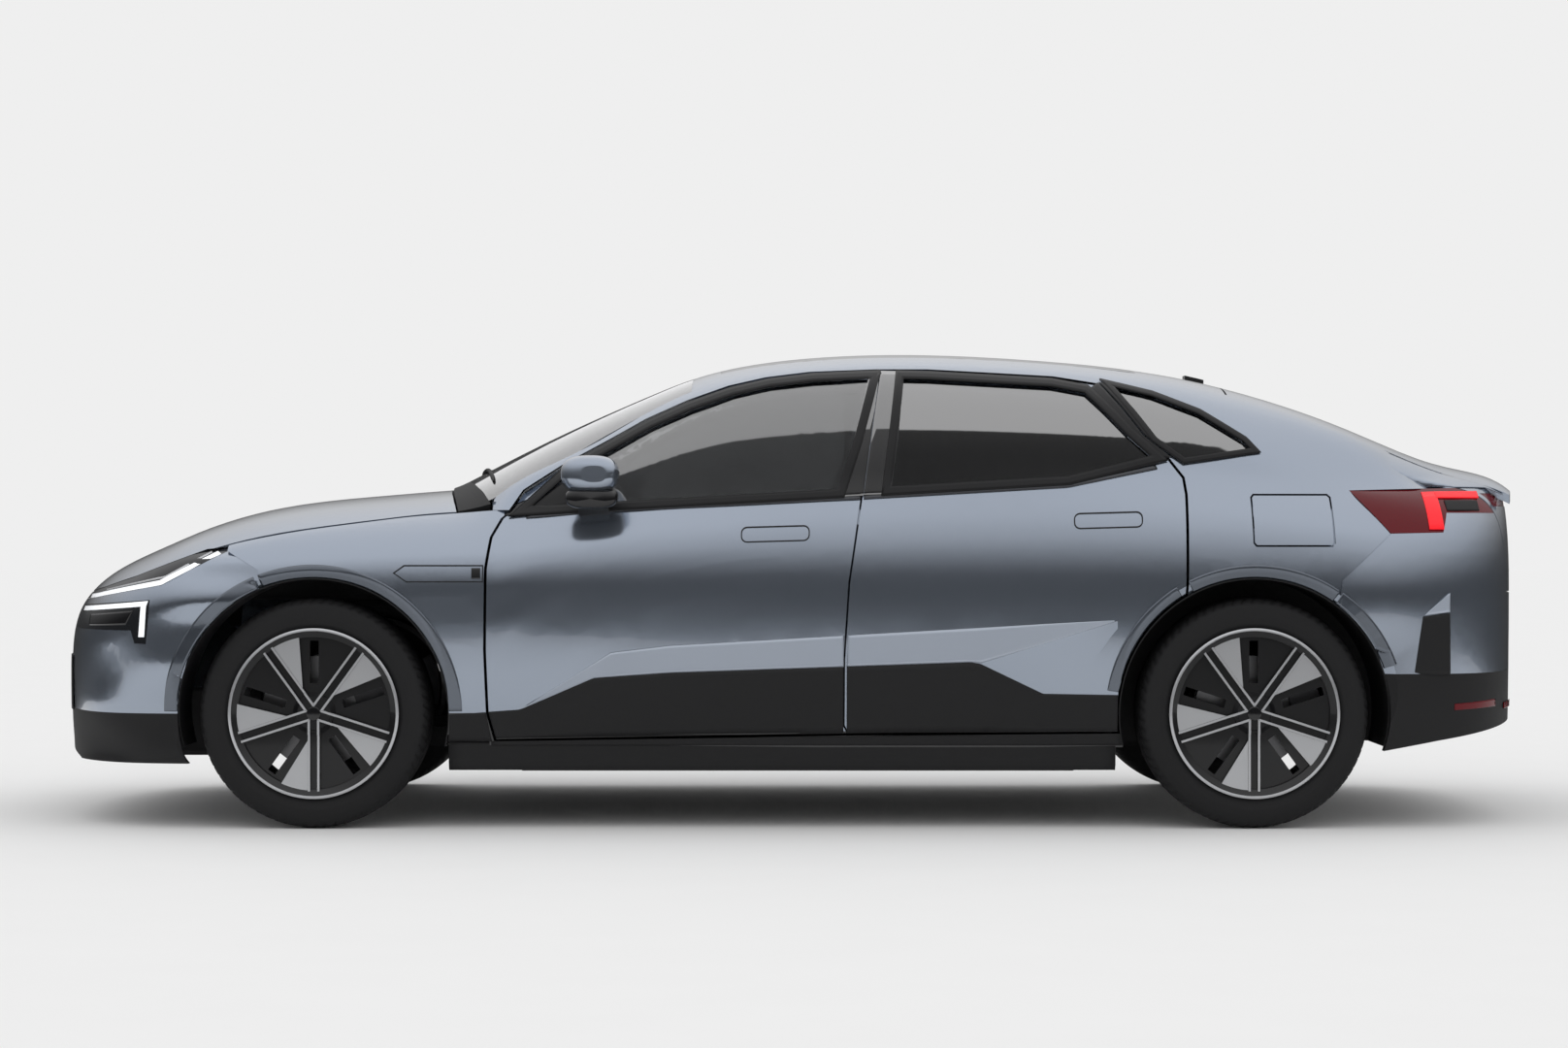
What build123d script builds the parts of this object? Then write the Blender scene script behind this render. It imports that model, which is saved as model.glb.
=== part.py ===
from build123d import *
import math
import os

# Coupe sport utility vehicle, millimetres. X runs nose to tail, Y to the vehicle's right, Z up.

# Driving sizes
FRONT_OVERHANG = 900
WHEELBASE = 2999
REAR_OVERHANG = 941
BODY_WIDTH = 2000
ROOF_TOP = 1546
BONNET_TOP = 1092
WIDEST_Z = 780
SILL_BOTTOM = 197
CANOPY_BASE = 950
NOSE_DEPTH = 470
TAIL_DEPTH = 440
TUCK = 62

TRACK = 1696
TYRE_RADIUS = 368
TYRE_WIDTH = 255
RIM_RADIUS = 271
RIM_WIDTH = 232
ARCH_RADIUS = 432
LINER_WALL = 4
DISC_RADIUS = 180
STUB_RADIUS = 30
KINGPIN_INSET = 52
PIN_CLEARANCE = 0.05

SHUT_GAP = 6
FIT_GAP = 0.3
SKIN_WALL = 25
DOOR_WALL = 105
DOOR_RIM = 30
FRAME_WALL = 42
PILLAR_WALL = 52
GLASS_WALL = 5
GLASS_INSET = 4
BONNET_WALL = 28
ROOF_WALL = 32
GATE_WALL = 30
BUMPER_WALL = 38
HINGE_PIN_R = 5
HINGE_SETBACK = 42
HINGE_OUTER = 982
HINGE_NOTCH = 60
HINGE_HEIGHTS = (590, 770)

FLOOR_Z = 240
FLOOR_WALL = 15
FLOOR_HALF = 760
BOOT_Z = 570
BATTERY_HEIGHT = 62

NOSE_X = -(FRONT_OVERHANG + WHEELBASE + REAR_OVERHANG) / 2
FRONT_AXLE_X = NOSE_X + FRONT_OVERHANG
REAR_AXLE_X = FRONT_AXLE_X + WHEELBASE
TAIL_X = REAR_AXLE_X + REAR_OVERHANG
HALF = BODY_WIDTH / 2
WHEEL_Y = TRACK / 2
WHEEL_Z = TYRE_RADIUS


def fx(offset):
    """Station measured back from the front axle."""
    return FRONT_AXLE_X + offset


def rx(offset):
    """Station measured back from the rear axle."""
    return REAR_AXLE_X + offset


def smooth_curve(points):
    """Natural cubic spline y(x) through hand-picked points, straight beyond its ends."""
    xs = [p[0] for p in points]
    ys = [p[1] for p in points]
    n = len(xs)
    h = [xs[i + 1] - xs[i] for i in range(n - 1)]
    second = [0.0] * n
    cp = [0.0] * n
    dp = [0.0] * n
    for i in range(1, n - 1):
        a = h[i - 1]
        b = 2 * (h[i - 1] + h[i])
        d = 6 * ((ys[i + 1] - ys[i]) / h[i] - (ys[i] - ys[i - 1]) / h[i - 1])
        m = b - a * cp[i - 1]
        cp[i] = h[i] / m
        dp[i] = (d - a * dp[i - 1]) / m
    for i in range(n - 2, 0, -1):
        second[i] = dp[i] - cp[i] * second[i + 1]
    first_slope = (ys[1] - ys[0]) / h[0] - h[0] * second[1] / 6
    last_slope = (ys[-1] - ys[-2]) / h[-1] + h[-1] * second[-2] / 6

    def value(x):
        if x <= xs[0]:
            return ys[0] + first_slope * (x - xs[0])
        if x >= xs[-1]:
            return ys[-1] + last_slope * (x - xs[-1])
        i = 0
        while x > xs[i + 1]:
            i += 1
        a = (xs[i + 1] - x) / h[i]
        b = 1 - a
        bend = (a ** 3 - a) * second[i] + (b ** 3 - b) * second[i + 1]
        return a * ys[i] + b * ys[i + 1] + bend * h[i] ** 2 / 6

    return value


# Roof line over the windscreen, the roof and the sloping tail
roof_line = smooth_curve([
    (fx(370), ROOF_TOP - 456), (fx(706), ROOF_TOP - 286), (fx(1007), ROOF_TOP - 153),
    (fx(1207), ROOF_TOP - 77), (fx(1407), ROOF_TOP - 32), (fx(1607), ROOF_TOP - 10),
    (rx(-1142), ROOF_TOP), (rx(-792), ROOF_TOP - 10), (rx(-492), ROOF_TOP - 33),
    (rx(-192), ROOF_TOP - 75), (rx(108), ROOF_TOP - 150), (rx(408), ROOF_TOP - 258),
    (rx(708), ROOF_TOP - 373), (rx(831), ROOF_TOP - 405), (rx(921), ROOF_TOP - 456),
])
# Bonnet centre line from the nose to the cowl
bonnet_line = smooth_curve([
    (NOSE_X + 6, BONNET_TOP - 395), (NOSE_X + 106, BONNET_TOP - 307), (NOSE_X + 306, BONNET_TOP - 200),
    (fx(-394), BONNET_TOP - 117), (fx(-194), BONNET_TOP - 63), (fx(106), BONNET_TOP - 26),
    (fx(420), BONNET_TOP),
])
# Height at which the body side would close over, which sets how fast the shoulder turns in
shoulder_line = smooth_curve([
    (fx(340), BONNET_TOP - 8), (fx(604), BONNET_TOP + 20), (fx(977), BONNET_TOP + 124),
    (fx(1755), BONNET_TOP + 237), (rx(-590), BONNET_TOP + 257), (rx(21), BONNET_TOP + 181),
    (rx(521), BONNET_TOP + 90), (rx(851), BONNET_TOP + 84),
])
# Half width of the canopy at its base
canopy_half = smooth_curve([
    (fx(370), HALF - 146), (fx(1020), HALF - 95), (fx(1820), HALF - 75),
    (rx(-379), HALF - 88), (rx(221), HALF - 140), (rx(851), HALF - 260),
])
# Half width of the windscreen, roof and tailgate opening
opening_half = smooth_curve([
    (fx(400), 800), (fx(720), 738), (fx(1183), 612), (fx(1520), 574), (fx(1847), 560),
    (rx(-479), 556), (rx(-49), 560), (rx(521), 588), (rx(921), 640),
])


def smooth_max(a, b, radius):
    h = max(radius - abs(a - b), 0) / radius
    return max(a, b) + h * h * radius / 4


def smooth_min(a, b, radius):
    return -smooth_max(-a, -b, radius)


def plan_half(x):
    """Half width of the body at its widest height."""
    front = max(fx(-430) - x, 0) / NOSE_DEPTH
    rear = max(x - (TAIL_X - TAIL_DEPTH), 0) / TAIL_DEPTH
    front_part = max(1 - min(front, 1) ** 2.2, 0) ** (1 / 2.6)
    rear_part = max(1 - min(rear, 1) ** 2.6, 0) ** (1 / 2.4)
    return HALF * front_part * rear_part


def side_top(x):
    return bonnet_line(x) if x < fx(340) else shoulder_line(x)


def widest_z(x):
    return smooth_min(WIDEST_Z, side_top(x) - 230, 90)


def lower_half(x, z):
    """Half width of the lower body at a height."""
    low = widest_z(x)
    if z >= low:
        t = (z - low) / (side_top(x) - low)
        return plan_half(x) * max(1 - min(t, 1) ** 2.3, 0) ** (1 / 3)
    t = (low - z) / (low - SILL_BOTTOM)
    return plan_half(x) * (1 - TUCK / HALF * min(t, 1.3) ** 2.2)


def canopy_top(x, y):
    """Height of the canopy over a point, its windscreen bent back toward the sides."""
    fade = min(max((fx(1520) - x) / 1150, 0), 1)
    bend = 150 * fade * fade * (3 - 2 * fade) * (y / 800) ** 2
    rise = roof_line(x - bend) - CANOPY_BASE
    t = min(abs(y) / canopy_half(x), 1)
    return CANOPY_BASE + rise * math.sqrt(max(1 - t ** 4, 0))


def canopy_side(x, z):
    """Half width of the canopy at a height."""
    if x < fx(200) or z >= roof_line(x):
        return 0
    if z <= CANOPY_BASE:
        return canopy_half(x)
    low = 0
    high = canopy_half(x)
    for _ in range(40):
        mid = (low + high) / 2
        if canopy_top(x, mid) > z:
            low = mid
        else:
            high = mid
    return low


def body_side(x, z):
    """Half width of the whole body, shoulder and canopy run together."""
    return smooth_max(lower_half(x, z), canopy_side(x, z), 46)


def bonnet_top(x, y):
    """Height of the lower body's upper surface."""
    low = widest_z(x)
    t = min(abs(y) / max(plan_half(x), 1), 1)
    return low + (side_top(x) - low) * max(1 - t ** 3, 0) ** (1 / 2.3)


def closed_section(outer, inner):
    return Wire([
        Edge.make_spline(outer), Edge.make_line(outer[-1], inner[-1]),
        Edge.make_spline(inner[::-1]), Edge.make_line(inner[0], outer[0]),
    ])


def offset_curve(points, depth, inward):
    """Inner points of a run moved along the curve normal, toward the inward point."""
    moved = []
    for i in range(1, len(points) - 1):
        p = points[i]
        a = points[i - 1]
        b = points[i + 1]
        du = b[0] - a[0]
        dv = b[1] - a[1]
        size = math.hypot(du, dv)
        nu = -dv / size
        nv = du / size
        if nu * (inward[0] - p[0]) + nv * (inward[1] - p[1]) < 0:
            nu = -nu
            nv = -nv
        moved.append((p[0] + nu * depth, p[1] + nv * depth))
    return moved


def spread(a, b, count):
    return [a + (b - a) * i / (count - 1) for i in range(count)]


def spread_past(a, b, count):
    """Even spacing with one extra value just past each end."""
    step = (b - a) * 0.002
    return [a - step] + spread(a, b, count) + [b + step]


def side_slab(x0, x1, z_low, z_high, near, far, stations=8, rows=11):
    """Slab along the left body side between two depths below the outer surface."""
    wires = []
    for x in spread(x0, x1, stations):
        top = z_high(x) if callable(z_high) else z_high
        face = [(-body_side(x, z), z) for z in spread_past(z_low, top, rows)]
        outer = offset_curve(face, near, (0, CANOPY_BASE - 200))
        inner = offset_curve(face, far, (0, CANOPY_BASE - 200))
        wires.append(closed_section([(x, y, z) for y, z in outer], [(x, y, z) for y, z in inner]))
    return Solid.make_loft(wires)


def top_slab(height, x0, x1, half_width, near, far, stations=8, rows=11):
    """Slab under an upper surface z = height(x, y) between two depths."""
    wires = []
    for x in stations if isinstance(stations, list) else spread(x0, x1, stations):
        w = half_width(x) if callable(half_width) else half_width
        face = [(y, height(x, y)) for y in spread_past(-w, w, rows)]
        outer = offset_curve(face, near, (0, -9000))
        inner = offset_curve(face, far, (0, -9000))
        wires.append(closed_section([(x, y, z) for y, z in outer], [(x, y, z) for y, z in inner]))
    return Solid.make_loft(wires)


def end_x(y, z, front):
    """Station of the nose or tail surface at a point of the end view."""
    outer = NOSE_X if front else TAIL_X
    inner = fx(-100) if front else rx(300)
    for _ in range(44):
        mid = (outer + inner) / 2
        if lower_half(mid, z) <= max(y, 0.001):
            outer = mid
        else:
            inner = mid
    return inner


def end_slab(heights, back_x, front, near, far, rows=10):
    """Slab wrapped round the nose or the tail, from level sections."""
    wires = []
    for z in heights:
        edge = lower_half(back_x, z)
        half = []
        for i in range(rows):
            y = edge * math.sin(math.pi / 2 * i / (rows - 1))
            half.append((back_x if i == rows - 1 else end_x(y, z, front), y))
        past = back_x + (2 if front else -2)
        half.append((past, lower_half(past, z)))
        face = [(x, -y) for x, y in half[:0:-1]] + half
        middle = (fx(300) if front else rx(-300), 0)
        outer = offset_curve(face, near, middle)
        inner = offset_curve(face, far, middle)
        wires.append(closed_section([(x, y, z) for x, y in outer], [(x, y, z) for x, y in inner]))
    return Solid.make_loft(wires)


def side_prism(points, y0=-1400, y1=0):
    """Outline in the side view, extruded across the vehicle."""
    wire = Wire.make_polygon([(x, y0, z) for x, z in points])
    return Solid.extrude(Face(wire), Vector(0, y1 - y0, 0))


def top_prism(points, z0=0, z1=2000):
    wire = Wire.make_polygon([(x, y, z0) for x, y in points])
    return Solid.extrude(Face(wire), Vector(0, 0, z1 - z0))


def inset(points, distance):
    """Polygon moved inward by a distance, corner by corner."""
    area = 0
    n = len(points)
    for i in range(n):
        x0, z0 = points[i]
        x1, z1 = points[(i + 1) % n]
        area += x0 * z1 - x1 * z0
    turn = 1 if area > 0 else -1
    result = []
    for i in range(n):
        ax, az = points[i - 1]
        bx, bz = points[i]
        cx, cz = points[(i + 1) % n]
        ux, uz = bx - ax, bz - az
        vx, vz = cx - bx, cz - bz
        lu = math.hypot(ux, uz)
        lv = math.hypot(vx, vz)
        n1x, n1z = -uz / lu * turn, ux / lu * turn
        n2x, n2z = -vz / lv * turn, vx / lv * turn
        k = 1 + n1x * n2x + n1z * n2z
        result.append((bx + (n1x + n2x) / k * distance, bz + (n1z + n2z) / k * distance))
    return result


def box(x0, x1, y0, y1, z0, z1):
    solid = Solid.make_box(x1 - x0, y1 - y0, z1 - z0)
    return solid.moved(Location((x0, y0, z0)))


def across(x, z, radius, y0, y1):
    """Cylinder along Y."""
    return Solid.make_cylinder(radius, y1 - y0, Plane(origin=(x, y0, z), z_dir=(0, 1, 0)))


def upright(x, y, radius, z0, z1):
    return Solid.make_cylinder(radius, z1 - z0, Plane(origin=(x, y, z0), z_dir=(0, 0, 1)))


def solid_of(shape):
    """The one largest solid of a boolean result."""
    solids = shape.solids()
    return max(solids, key=lambda s: s.volume)


def mirrored(shape):
    return shape.mirror(Plane.XZ)


PARTS = {}


def keep(name, *shapes):
    solids = []
    for shape in shapes:
        solids.extend(shape.solids())
    PARTS[name] = solids


def both(left):
    return [left, mirrored(left)]


# Side-view outlines, left side. Heights in the glass zone hang from the roof and the waist.
A_FOOT = (fx(618), BONNET_TOP - 82)
DOOR_TOP = [
    (fx(661), 1078), (fx(790), 1164), (fx(920), 1236), (fx(1051), 1311), (fx(1183), 1371),
    (fx(1319), 1420), (fx(1440), 1448), (fx(1583), ROOF_TOP - 80), (fx(1800), ROOF_TOP - 72),
]
B_LINE = [
    (fx(1808), ROOF_TOP - 72), (fx(1751), 1080), (fx(1707), 786), (fx(1691), 540), (fx(1688), 305),
]
DOOR_BOTTOM_FRONT = 283
DOOR_BOTTOM_REAR = 308
FRONT_DOOR = [
    (fx(580), DOOR_BOTTOM_FRONT), (fx(556), 370), (fx(549), 570), (fx(552), 830), (fx(566), 930),
    (fx(596), 990), A_FOOT,
] + DOOR_TOP + B_LINE[:-1] + [(fx(1690), 330), (fx(1704), DOOR_BOTTOM_REAR - 5)]
REAR_TOP = [
    (rx(-1030), ROOF_TOP - 72), (rx(-618), ROOF_TOP - 95), (rx(-480), ROOF_TOP - 118),
    (rx(-420), ROOF_TOP - 200), (rx(-350), 1250), (rx(-262), 1178),
]


def arch_points(center_x, radius, start, end, count):
    """Points on a wheel arch between two angles from the level, in degrees."""
    return [
        (center_x + radius * math.cos(math.radians(a)), WHEEL_Z + radius * math.sin(math.radians(a)))
        for a in spread(start, end, count)
    ]


FRONT_HINGE_X = fx(549) + HINGE_SETBACK
REAR_HINGE_X = fx(1691) + SHUT_GAP / 2 + HINGE_SETBACK
DOOR_ARCH = arch_points(REAR_AXLE_X, ARCH_RADIUS + SHUT_GAP, 120, 188, 9)
REAR_DOOR = (
    [(fx(1704), DOOR_BOTTOM_REAR - 5), (fx(1690), 330)] + B_LINE[:-1][::-1] + REAR_TOP
    + [(rx(-219), 1120), (rx(-213), 1066), (rx(-217), 900)] + DOOR_ARCH
    + [(rx(-440), DOOR_BOTTOM_REAR)]
)
WAIST = [(fx(618), 1022), (fx(977), 1048), (fx(1755), 1086), (rx(-590), 1124), (rx(-262), 1190)]


def waist_z(x):
    for (x0, z0), (x1, z1) in zip(WAIST, WAIST[1:]):
        if x <= x1:
            return z0 + (z1 - z0) * (x - x0) / (x1 - x0)
    return WAIST[-1][1]


WINDOW_RIM = 30
FRONT_WINDOW = (
    [(fx(690), waist_z(fx(690)))]
    + [(x + 14, z - WINDOW_RIM) for x, z in DOOR_TOP[1:-1]]
    + [(fx(1780), ROOF_TOP - 72 - WINDOW_RIM), (fx(1724), 1240), (fx(1672), waist_z(fx(1672)))]
)
REAR_WINDOW = [
    (fx(1842), waist_z(fx(1842))), (fx(1890), ROOF_TOP - 72 - WINDOW_RIM),
    (rx(-1030), ROOF_TOP - 74 - WINDOW_RIM), (rx(-628), ROOF_TOP - 97 - WINDOW_RIM),
    (rx(-520), ROOF_TOP - 118 - WINDOW_RIM), (rx(-462), ROOF_TOP - 210),
    (rx(-392), 1256), (rx(-322), 1190), (rx(-590), waist_z(rx(-590))),
]
QUARTER_WINDOW = [
    (rx(-420), ROOF_TOP - 128), (rx(-300), ROOF_TOP - 158), (rx(-153), ROOF_TOP - 218),
    (rx(-14), 1238), (rx(6), 1215), (rx(-210), 1184), (rx(-300), 1250), (rx(-362), ROOF_TOP - 208),
]


def opening_z(x):
    """Height of the canopy at the edge of the windscreen, roof or tailgate opening."""
    return canopy_top(x, opening_half(x))


def shut_half(x):
    """Half width of the bonnet at its shut line with the wings."""
    return SHUT_CURVE(x)


SHUT_CURVE = smooth_curve([(fx(-280), 893), (fx(-100), 868), (fx(150), 832), (fx(380), 802), (fx(560), 800)])
BONNET_EDGE = [
    (NOSE_X, 731), (NOSE_X + 190, 769), (NOSE_X + 316, 806), (fx(-351), 892), (fx(-270), 899),
]
LAMP_TOP = [(x, z - SHUT_GAP) for x, z in BONNET_EDGE]
LAMP_LOW = [(NOSE_X, 716), (NOSE_X + 158, 733), (fx(-484), 776), (fx(-280), 886)]
LAMP_INNER = 430
BUMPER_LINE = [(fx(-280), 886), (fx(-175), 826), (fx(-160), 760)]
LOWER_TRIM_TOP = 368
REAR_TRIM_TOP = 495
REAR_LINE = [(rx(270), 760), (rx(274), 792), (rx(435), 941)]
TAIL_LAMP = [
    (rx(322), 1080), (rx(700), 1090), (TAIL_X + 60, 1090), (TAIL_X + 60, 1008), (rx(628), 1008),
    (rx(606), 945), (rx(436), 942),
]
BUMPER_ZONE = [(rx(200), 0), (rx(270), 760)] + REAR_LINE[1:] + [
    (rx(606), 944.7), (rx(628), 1007.7), (TAIL_X + 60, 1007.7), (TAIL_X + 60, 0)]
REAR_VENT = [(rx(535), 673), (rx(613), 683), (rx(619), 555), (rx(516), 499)]
VENT_DEPTH = 14
FRONT_LIP = [(NOSE_X - 20, 262), (NOSE_X + 96, 212), (NOSE_X + 130, 190), (NOSE_X - 20, 190)]
REAR_SWEEP = [(rx(330), 231), (rx(587), 280), (TAIL_X + 20, 340), (TAIL_X + 20, 150), (rx(330), 150)]
# Door crease: station, heights of its top, crest and foot, and how far crest and foot stand out
DOOR_CREASE = [
    (fx(670), 390, 384, 300, 1, 1), (fx(895), 529, 484, 300, 12, 4), (fx(950), 564, 488, 300, 15, 4),
    (fx(1136), 586, 501, 300, 18, 4), (rx(-906), 641, 534, 305, 18, 4), (rx(-875), 643, 530, 305, 18, 4),
    (rx(-675), 655, 592, 432, 10, 1), (rx(-439), 668, 664, 428, 1, 1),
]
CREASE_ROOT = -4
FLARE_OUTER = 1004
FLARE_INNER = 978
FLARE_BAND = 36
WING_TOP = 1014
POST_OUTER = -800
POST_INNER = -760
GATE_LOW = 752
GATE_HALF = 714
BAR_HALF = 690
BAR_Z = (1030, 1072)
BONNET_REAR = 370
BONNET_SWEEP = 70
SCREEN_FOOT = 420
SCREEN_SWEEP = 130
ROOF_START = 1196
ROOF_END = -42
GATE_START = -35
GATE_AXIS = -5
BONNET_AXIS = 335
LID_PIN_Y = 200
LID_PIN_DEPTH = 11
ROOF_GLASS_HALF = 470
FLAP = [(rx(0), 912), (rx(6), 905), (rx(244), 905), (rx(251), 912), (rx(251), 1056), (rx(244), 1063),
        (rx(6), 1063), (rx(0), 1056)]
FLAP_WALL = 12
FLAP_POCKET = 30


def clip_top(z_line, x_end, above):
    """Side-view polygon above or below a polyline."""
    edge = 2400 if above else -200
    first = z_line[0]
    last = z_line[-1]
    return [(first[0] - 200, first[1])] + z_line + [(x_end, last[1]), (x_end, edge), (first[0] - 200, edge)]


def arc_line(start, sweep, half):
    """Plan curve that falls back toward both sides."""
    return [(start + sweep * (y / 800) ** 2, y) for y in spread(-half, half, 13)]


def bonnet_axis():
    return fx(BONNET_AXIS), bonnet_top(fx(BONNET_AXIS), LID_PIN_Y) - LID_PIN_DEPTH


def gate_axis():
    return rx(GATE_AXIS), canopy_top(rx(GATE_AXIS), LID_PIN_Y) - LID_PIN_DEPTH


def cowl_top(x, y):
    return smooth_max(bonnet_top(x, y), canopy_top(x, y), 30)


def full_prism(points):
    return side_prism(points, -1400, 1400)


def top_zones():
    """Stretches of windscreen, roof and tailgate that the body sides leave free, with their depths."""
    screen = (fx(SCREEN_FOOT) - 6, fx(ROOF_START), 9)
    roof = (fx(ROOF_START) - 1, rx(ROOF_END) + 1, 10)
    gate = (rx(GATE_START) - 7, rx(915), 9)
    return (screen, GLASS_WALL + FIT_GAP), (roof, ROOF_WALL + FIT_GAP), (gate, GATE_WALL + SHUT_GAP)


def build_sides():
    """Left body side, its doors, glass and hinges, then the right side by mirror."""
    front_cut = side_prism(inset(FRONT_DOOR, -SHUT_GAP))
    rear_cut = side_prism(inset(REAR_DOOR, -SHUT_GAP))
    frame = side_slab(fx(560), rx(780), 260, lambda x: opening_z(x) + 8, 0, PILLAR_WALL, 14, 13)
    for zone, depth in top_zones():
        frame = frame - top_slab(canopy_top, zone[0], zone[1], opening_half, -30, depth, zone[2], 11)
    frame = frame - front_cut - rear_cut - side_prism(QUARTER_WINDOW)
    frame = frame - across(REAR_AXLE_X, WHEEL_Z, ARCH_RADIUS + FIT_GAP, -1400, 0) - arch_flare(REAR_AXLE_X)
    frame = frame - side_prism(inset(BUMPER_ZONE, -FIT_GAP)) - side_prism(inset(TAIL_LAMP, -FIT_GAP))
    frame = frame - box(fx(400), fx(616), -1400, 0, 300, WING_TOP + 3)
    frame = frame - box(rx(600), TAIL_X, -1400, 0, 930, 1020)
    side = box(fx(480), rx(-440), -935, -FLOOR_HALF, SILL_BOTTOM + 3, 270)
    side = side + box(fx(557), fx(640), POST_OUTER, POST_INNER, 240, 1000)
    side = side + box(fx(557), fx(606), POST_OUTER, POST_INNER, 990, 1044)
    side = side + box(fx(1700), fx(1800), POST_OUTER, POST_INNER, 240, 1040)
    side = side + box(fx(1715), fx(1795), -872, POST_INNER, 970, 1040)
    side = side + side_slab(fx(1718), fx(1795), 990, opening_z, FRAME_WALL + 7, FRAME_WALL + 50, 3, 9)
    for piece in frame.solids():
        if piece.volume > 2e5:
            side = side + piece
    return solid_of(side)


def arch_flare(axle):
    """Cone that bevels the left panels round a wheel arch."""
    plane = Plane(origin=(axle, -FLARE_OUTER, WHEEL_Z), z_dir=(0, 1, 0))
    return Solid.make_cone(ARCH_RADIUS + FLARE_BAND, ARCH_RADIUS + FIT_GAP, FLARE_OUTER - FLARE_INNER, plane)


def door_crease():
    """Raised wedge along the lower doors, lofted through its stations with sharp edges."""
    wires = []
    for x, top, crest, foot, crest_out, foot_out in DOOR_CREASE:
        corners = ((CREASE_ROOT, top), (0.5, top), (crest_out, crest), (foot_out, foot), (CREASE_ROOT, foot))
        wires.append(Wire.make_polygon([(x, -body_side(x, z) - out, z) for out, z in corners]))
    return Solid.make_loft(wires, ruled=True)


def door(outline, window, hinge_x, x0, x1, crease_margin):
    """Left door: rimmed outer panel with its crease, thick lower box and a slim window frame."""
    outer = side_slab(x0, x1, 250, lambda x: opening_z(x) - 4, 0, DOOR_RIM, 8, 13)
    panel = outer & side_prism(outline)
    panel = panel + (door_crease() & side_prism(inset(outline, crease_margin)))
    inner = side_slab(x0, x1, 250, 935, DOOR_RIM - 2, DOOR_WALL, 7, 8)
    panel = panel + (inner & side_prism(inset(outline, 26)))
    frame = side_slab(x0, x1, 900, lambda x: opening_z(x) - 4, DOOR_RIM - 2, FRAME_WALL, 7, 9)
    panel = panel + (frame & side_prism(inset(outline, 12)))
    panel = panel - side_prism(window)
    for z in HINGE_HEIGHTS:
        half = HINGE_NOTCH / 2
        panel = panel - box(hinge_x - 90, hinge_x + 11, -HINGE_OUTER - 10.5, -700, z - half, z + half)
        panel = panel - upright(hinge_x, -HINGE_OUTER, HINGE_PIN_R + PIN_CLEARANCE, z - half - 27, z + half + 27)
    return solid_of(panel)


def glass(window, x0, x1):
    sheet = side_slab(x0, x1, 960, lambda x: opening_z(x) - 2, GLASS_INSET, GLASS_INSET + GLASS_WALL, 8, 9)
    return solid_of(sheet & side_prism(inset(window, FIT_GAP)))


def door_hinge(x, z, inner_y):
    """Pin with a strap to the post behind it."""
    half = HINGE_NOTCH / 2
    pin = upright(x, -HINGE_OUTER, HINGE_PIN_R, z - half - 25, z + half + 25)
    strap = box(x - 5, x + 5, -HINGE_OUTER, inner_y, z - 20, z + 20)
    return pin + strap


def build_doors():
    front_axis = FRONT_HINGE_X
    rear_axis = REAR_HINGE_X
    b_gap = SHUT_GAP / 2
    front_outline = inset(FRONT_DOOR, b_gap)
    rear_outline = inset(REAR_DOOR, b_gap)
    front = door(front_outline, FRONT_WINDOW, front_axis, fx(540), fx(1830), 1)
    rear = door(rear_outline, REAR_WINDOW, rear_axis, fx(1670), rx(-150), 6)
    rear = solid_of(rear - arch_flare(REAR_AXLE_X))
    keep("door_front_left", front)
    keep("door_front_right", mirrored(front))
    keep("door_rear_left", rear)
    keep("door_rear_right", mirrored(rear))
    for name, window, x0, x1 in (
        ("front", FRONT_WINDOW, fx(600), fx(1850)), ("rear", REAR_WINDOW, fx(1750), rx(-200)),
    ):
        pane = glass(window, x0, x1)
        keep(f"door_glass_{name}_left", pane)
        keep(f"door_glass_{name}_right", mirrored(pane))
    pane = glass(QUARTER_WINDOW, rx(-480), rx(60))
    keep("quarter_windows", *both(pane))
    hinges = []
    for axis in (front_axis, rear_axis):
        for z in HINGE_HEIGHTS:
            hinges.extend(both(door_hinge(axis, z, POST_OUTER)))
    return hinges


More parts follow.
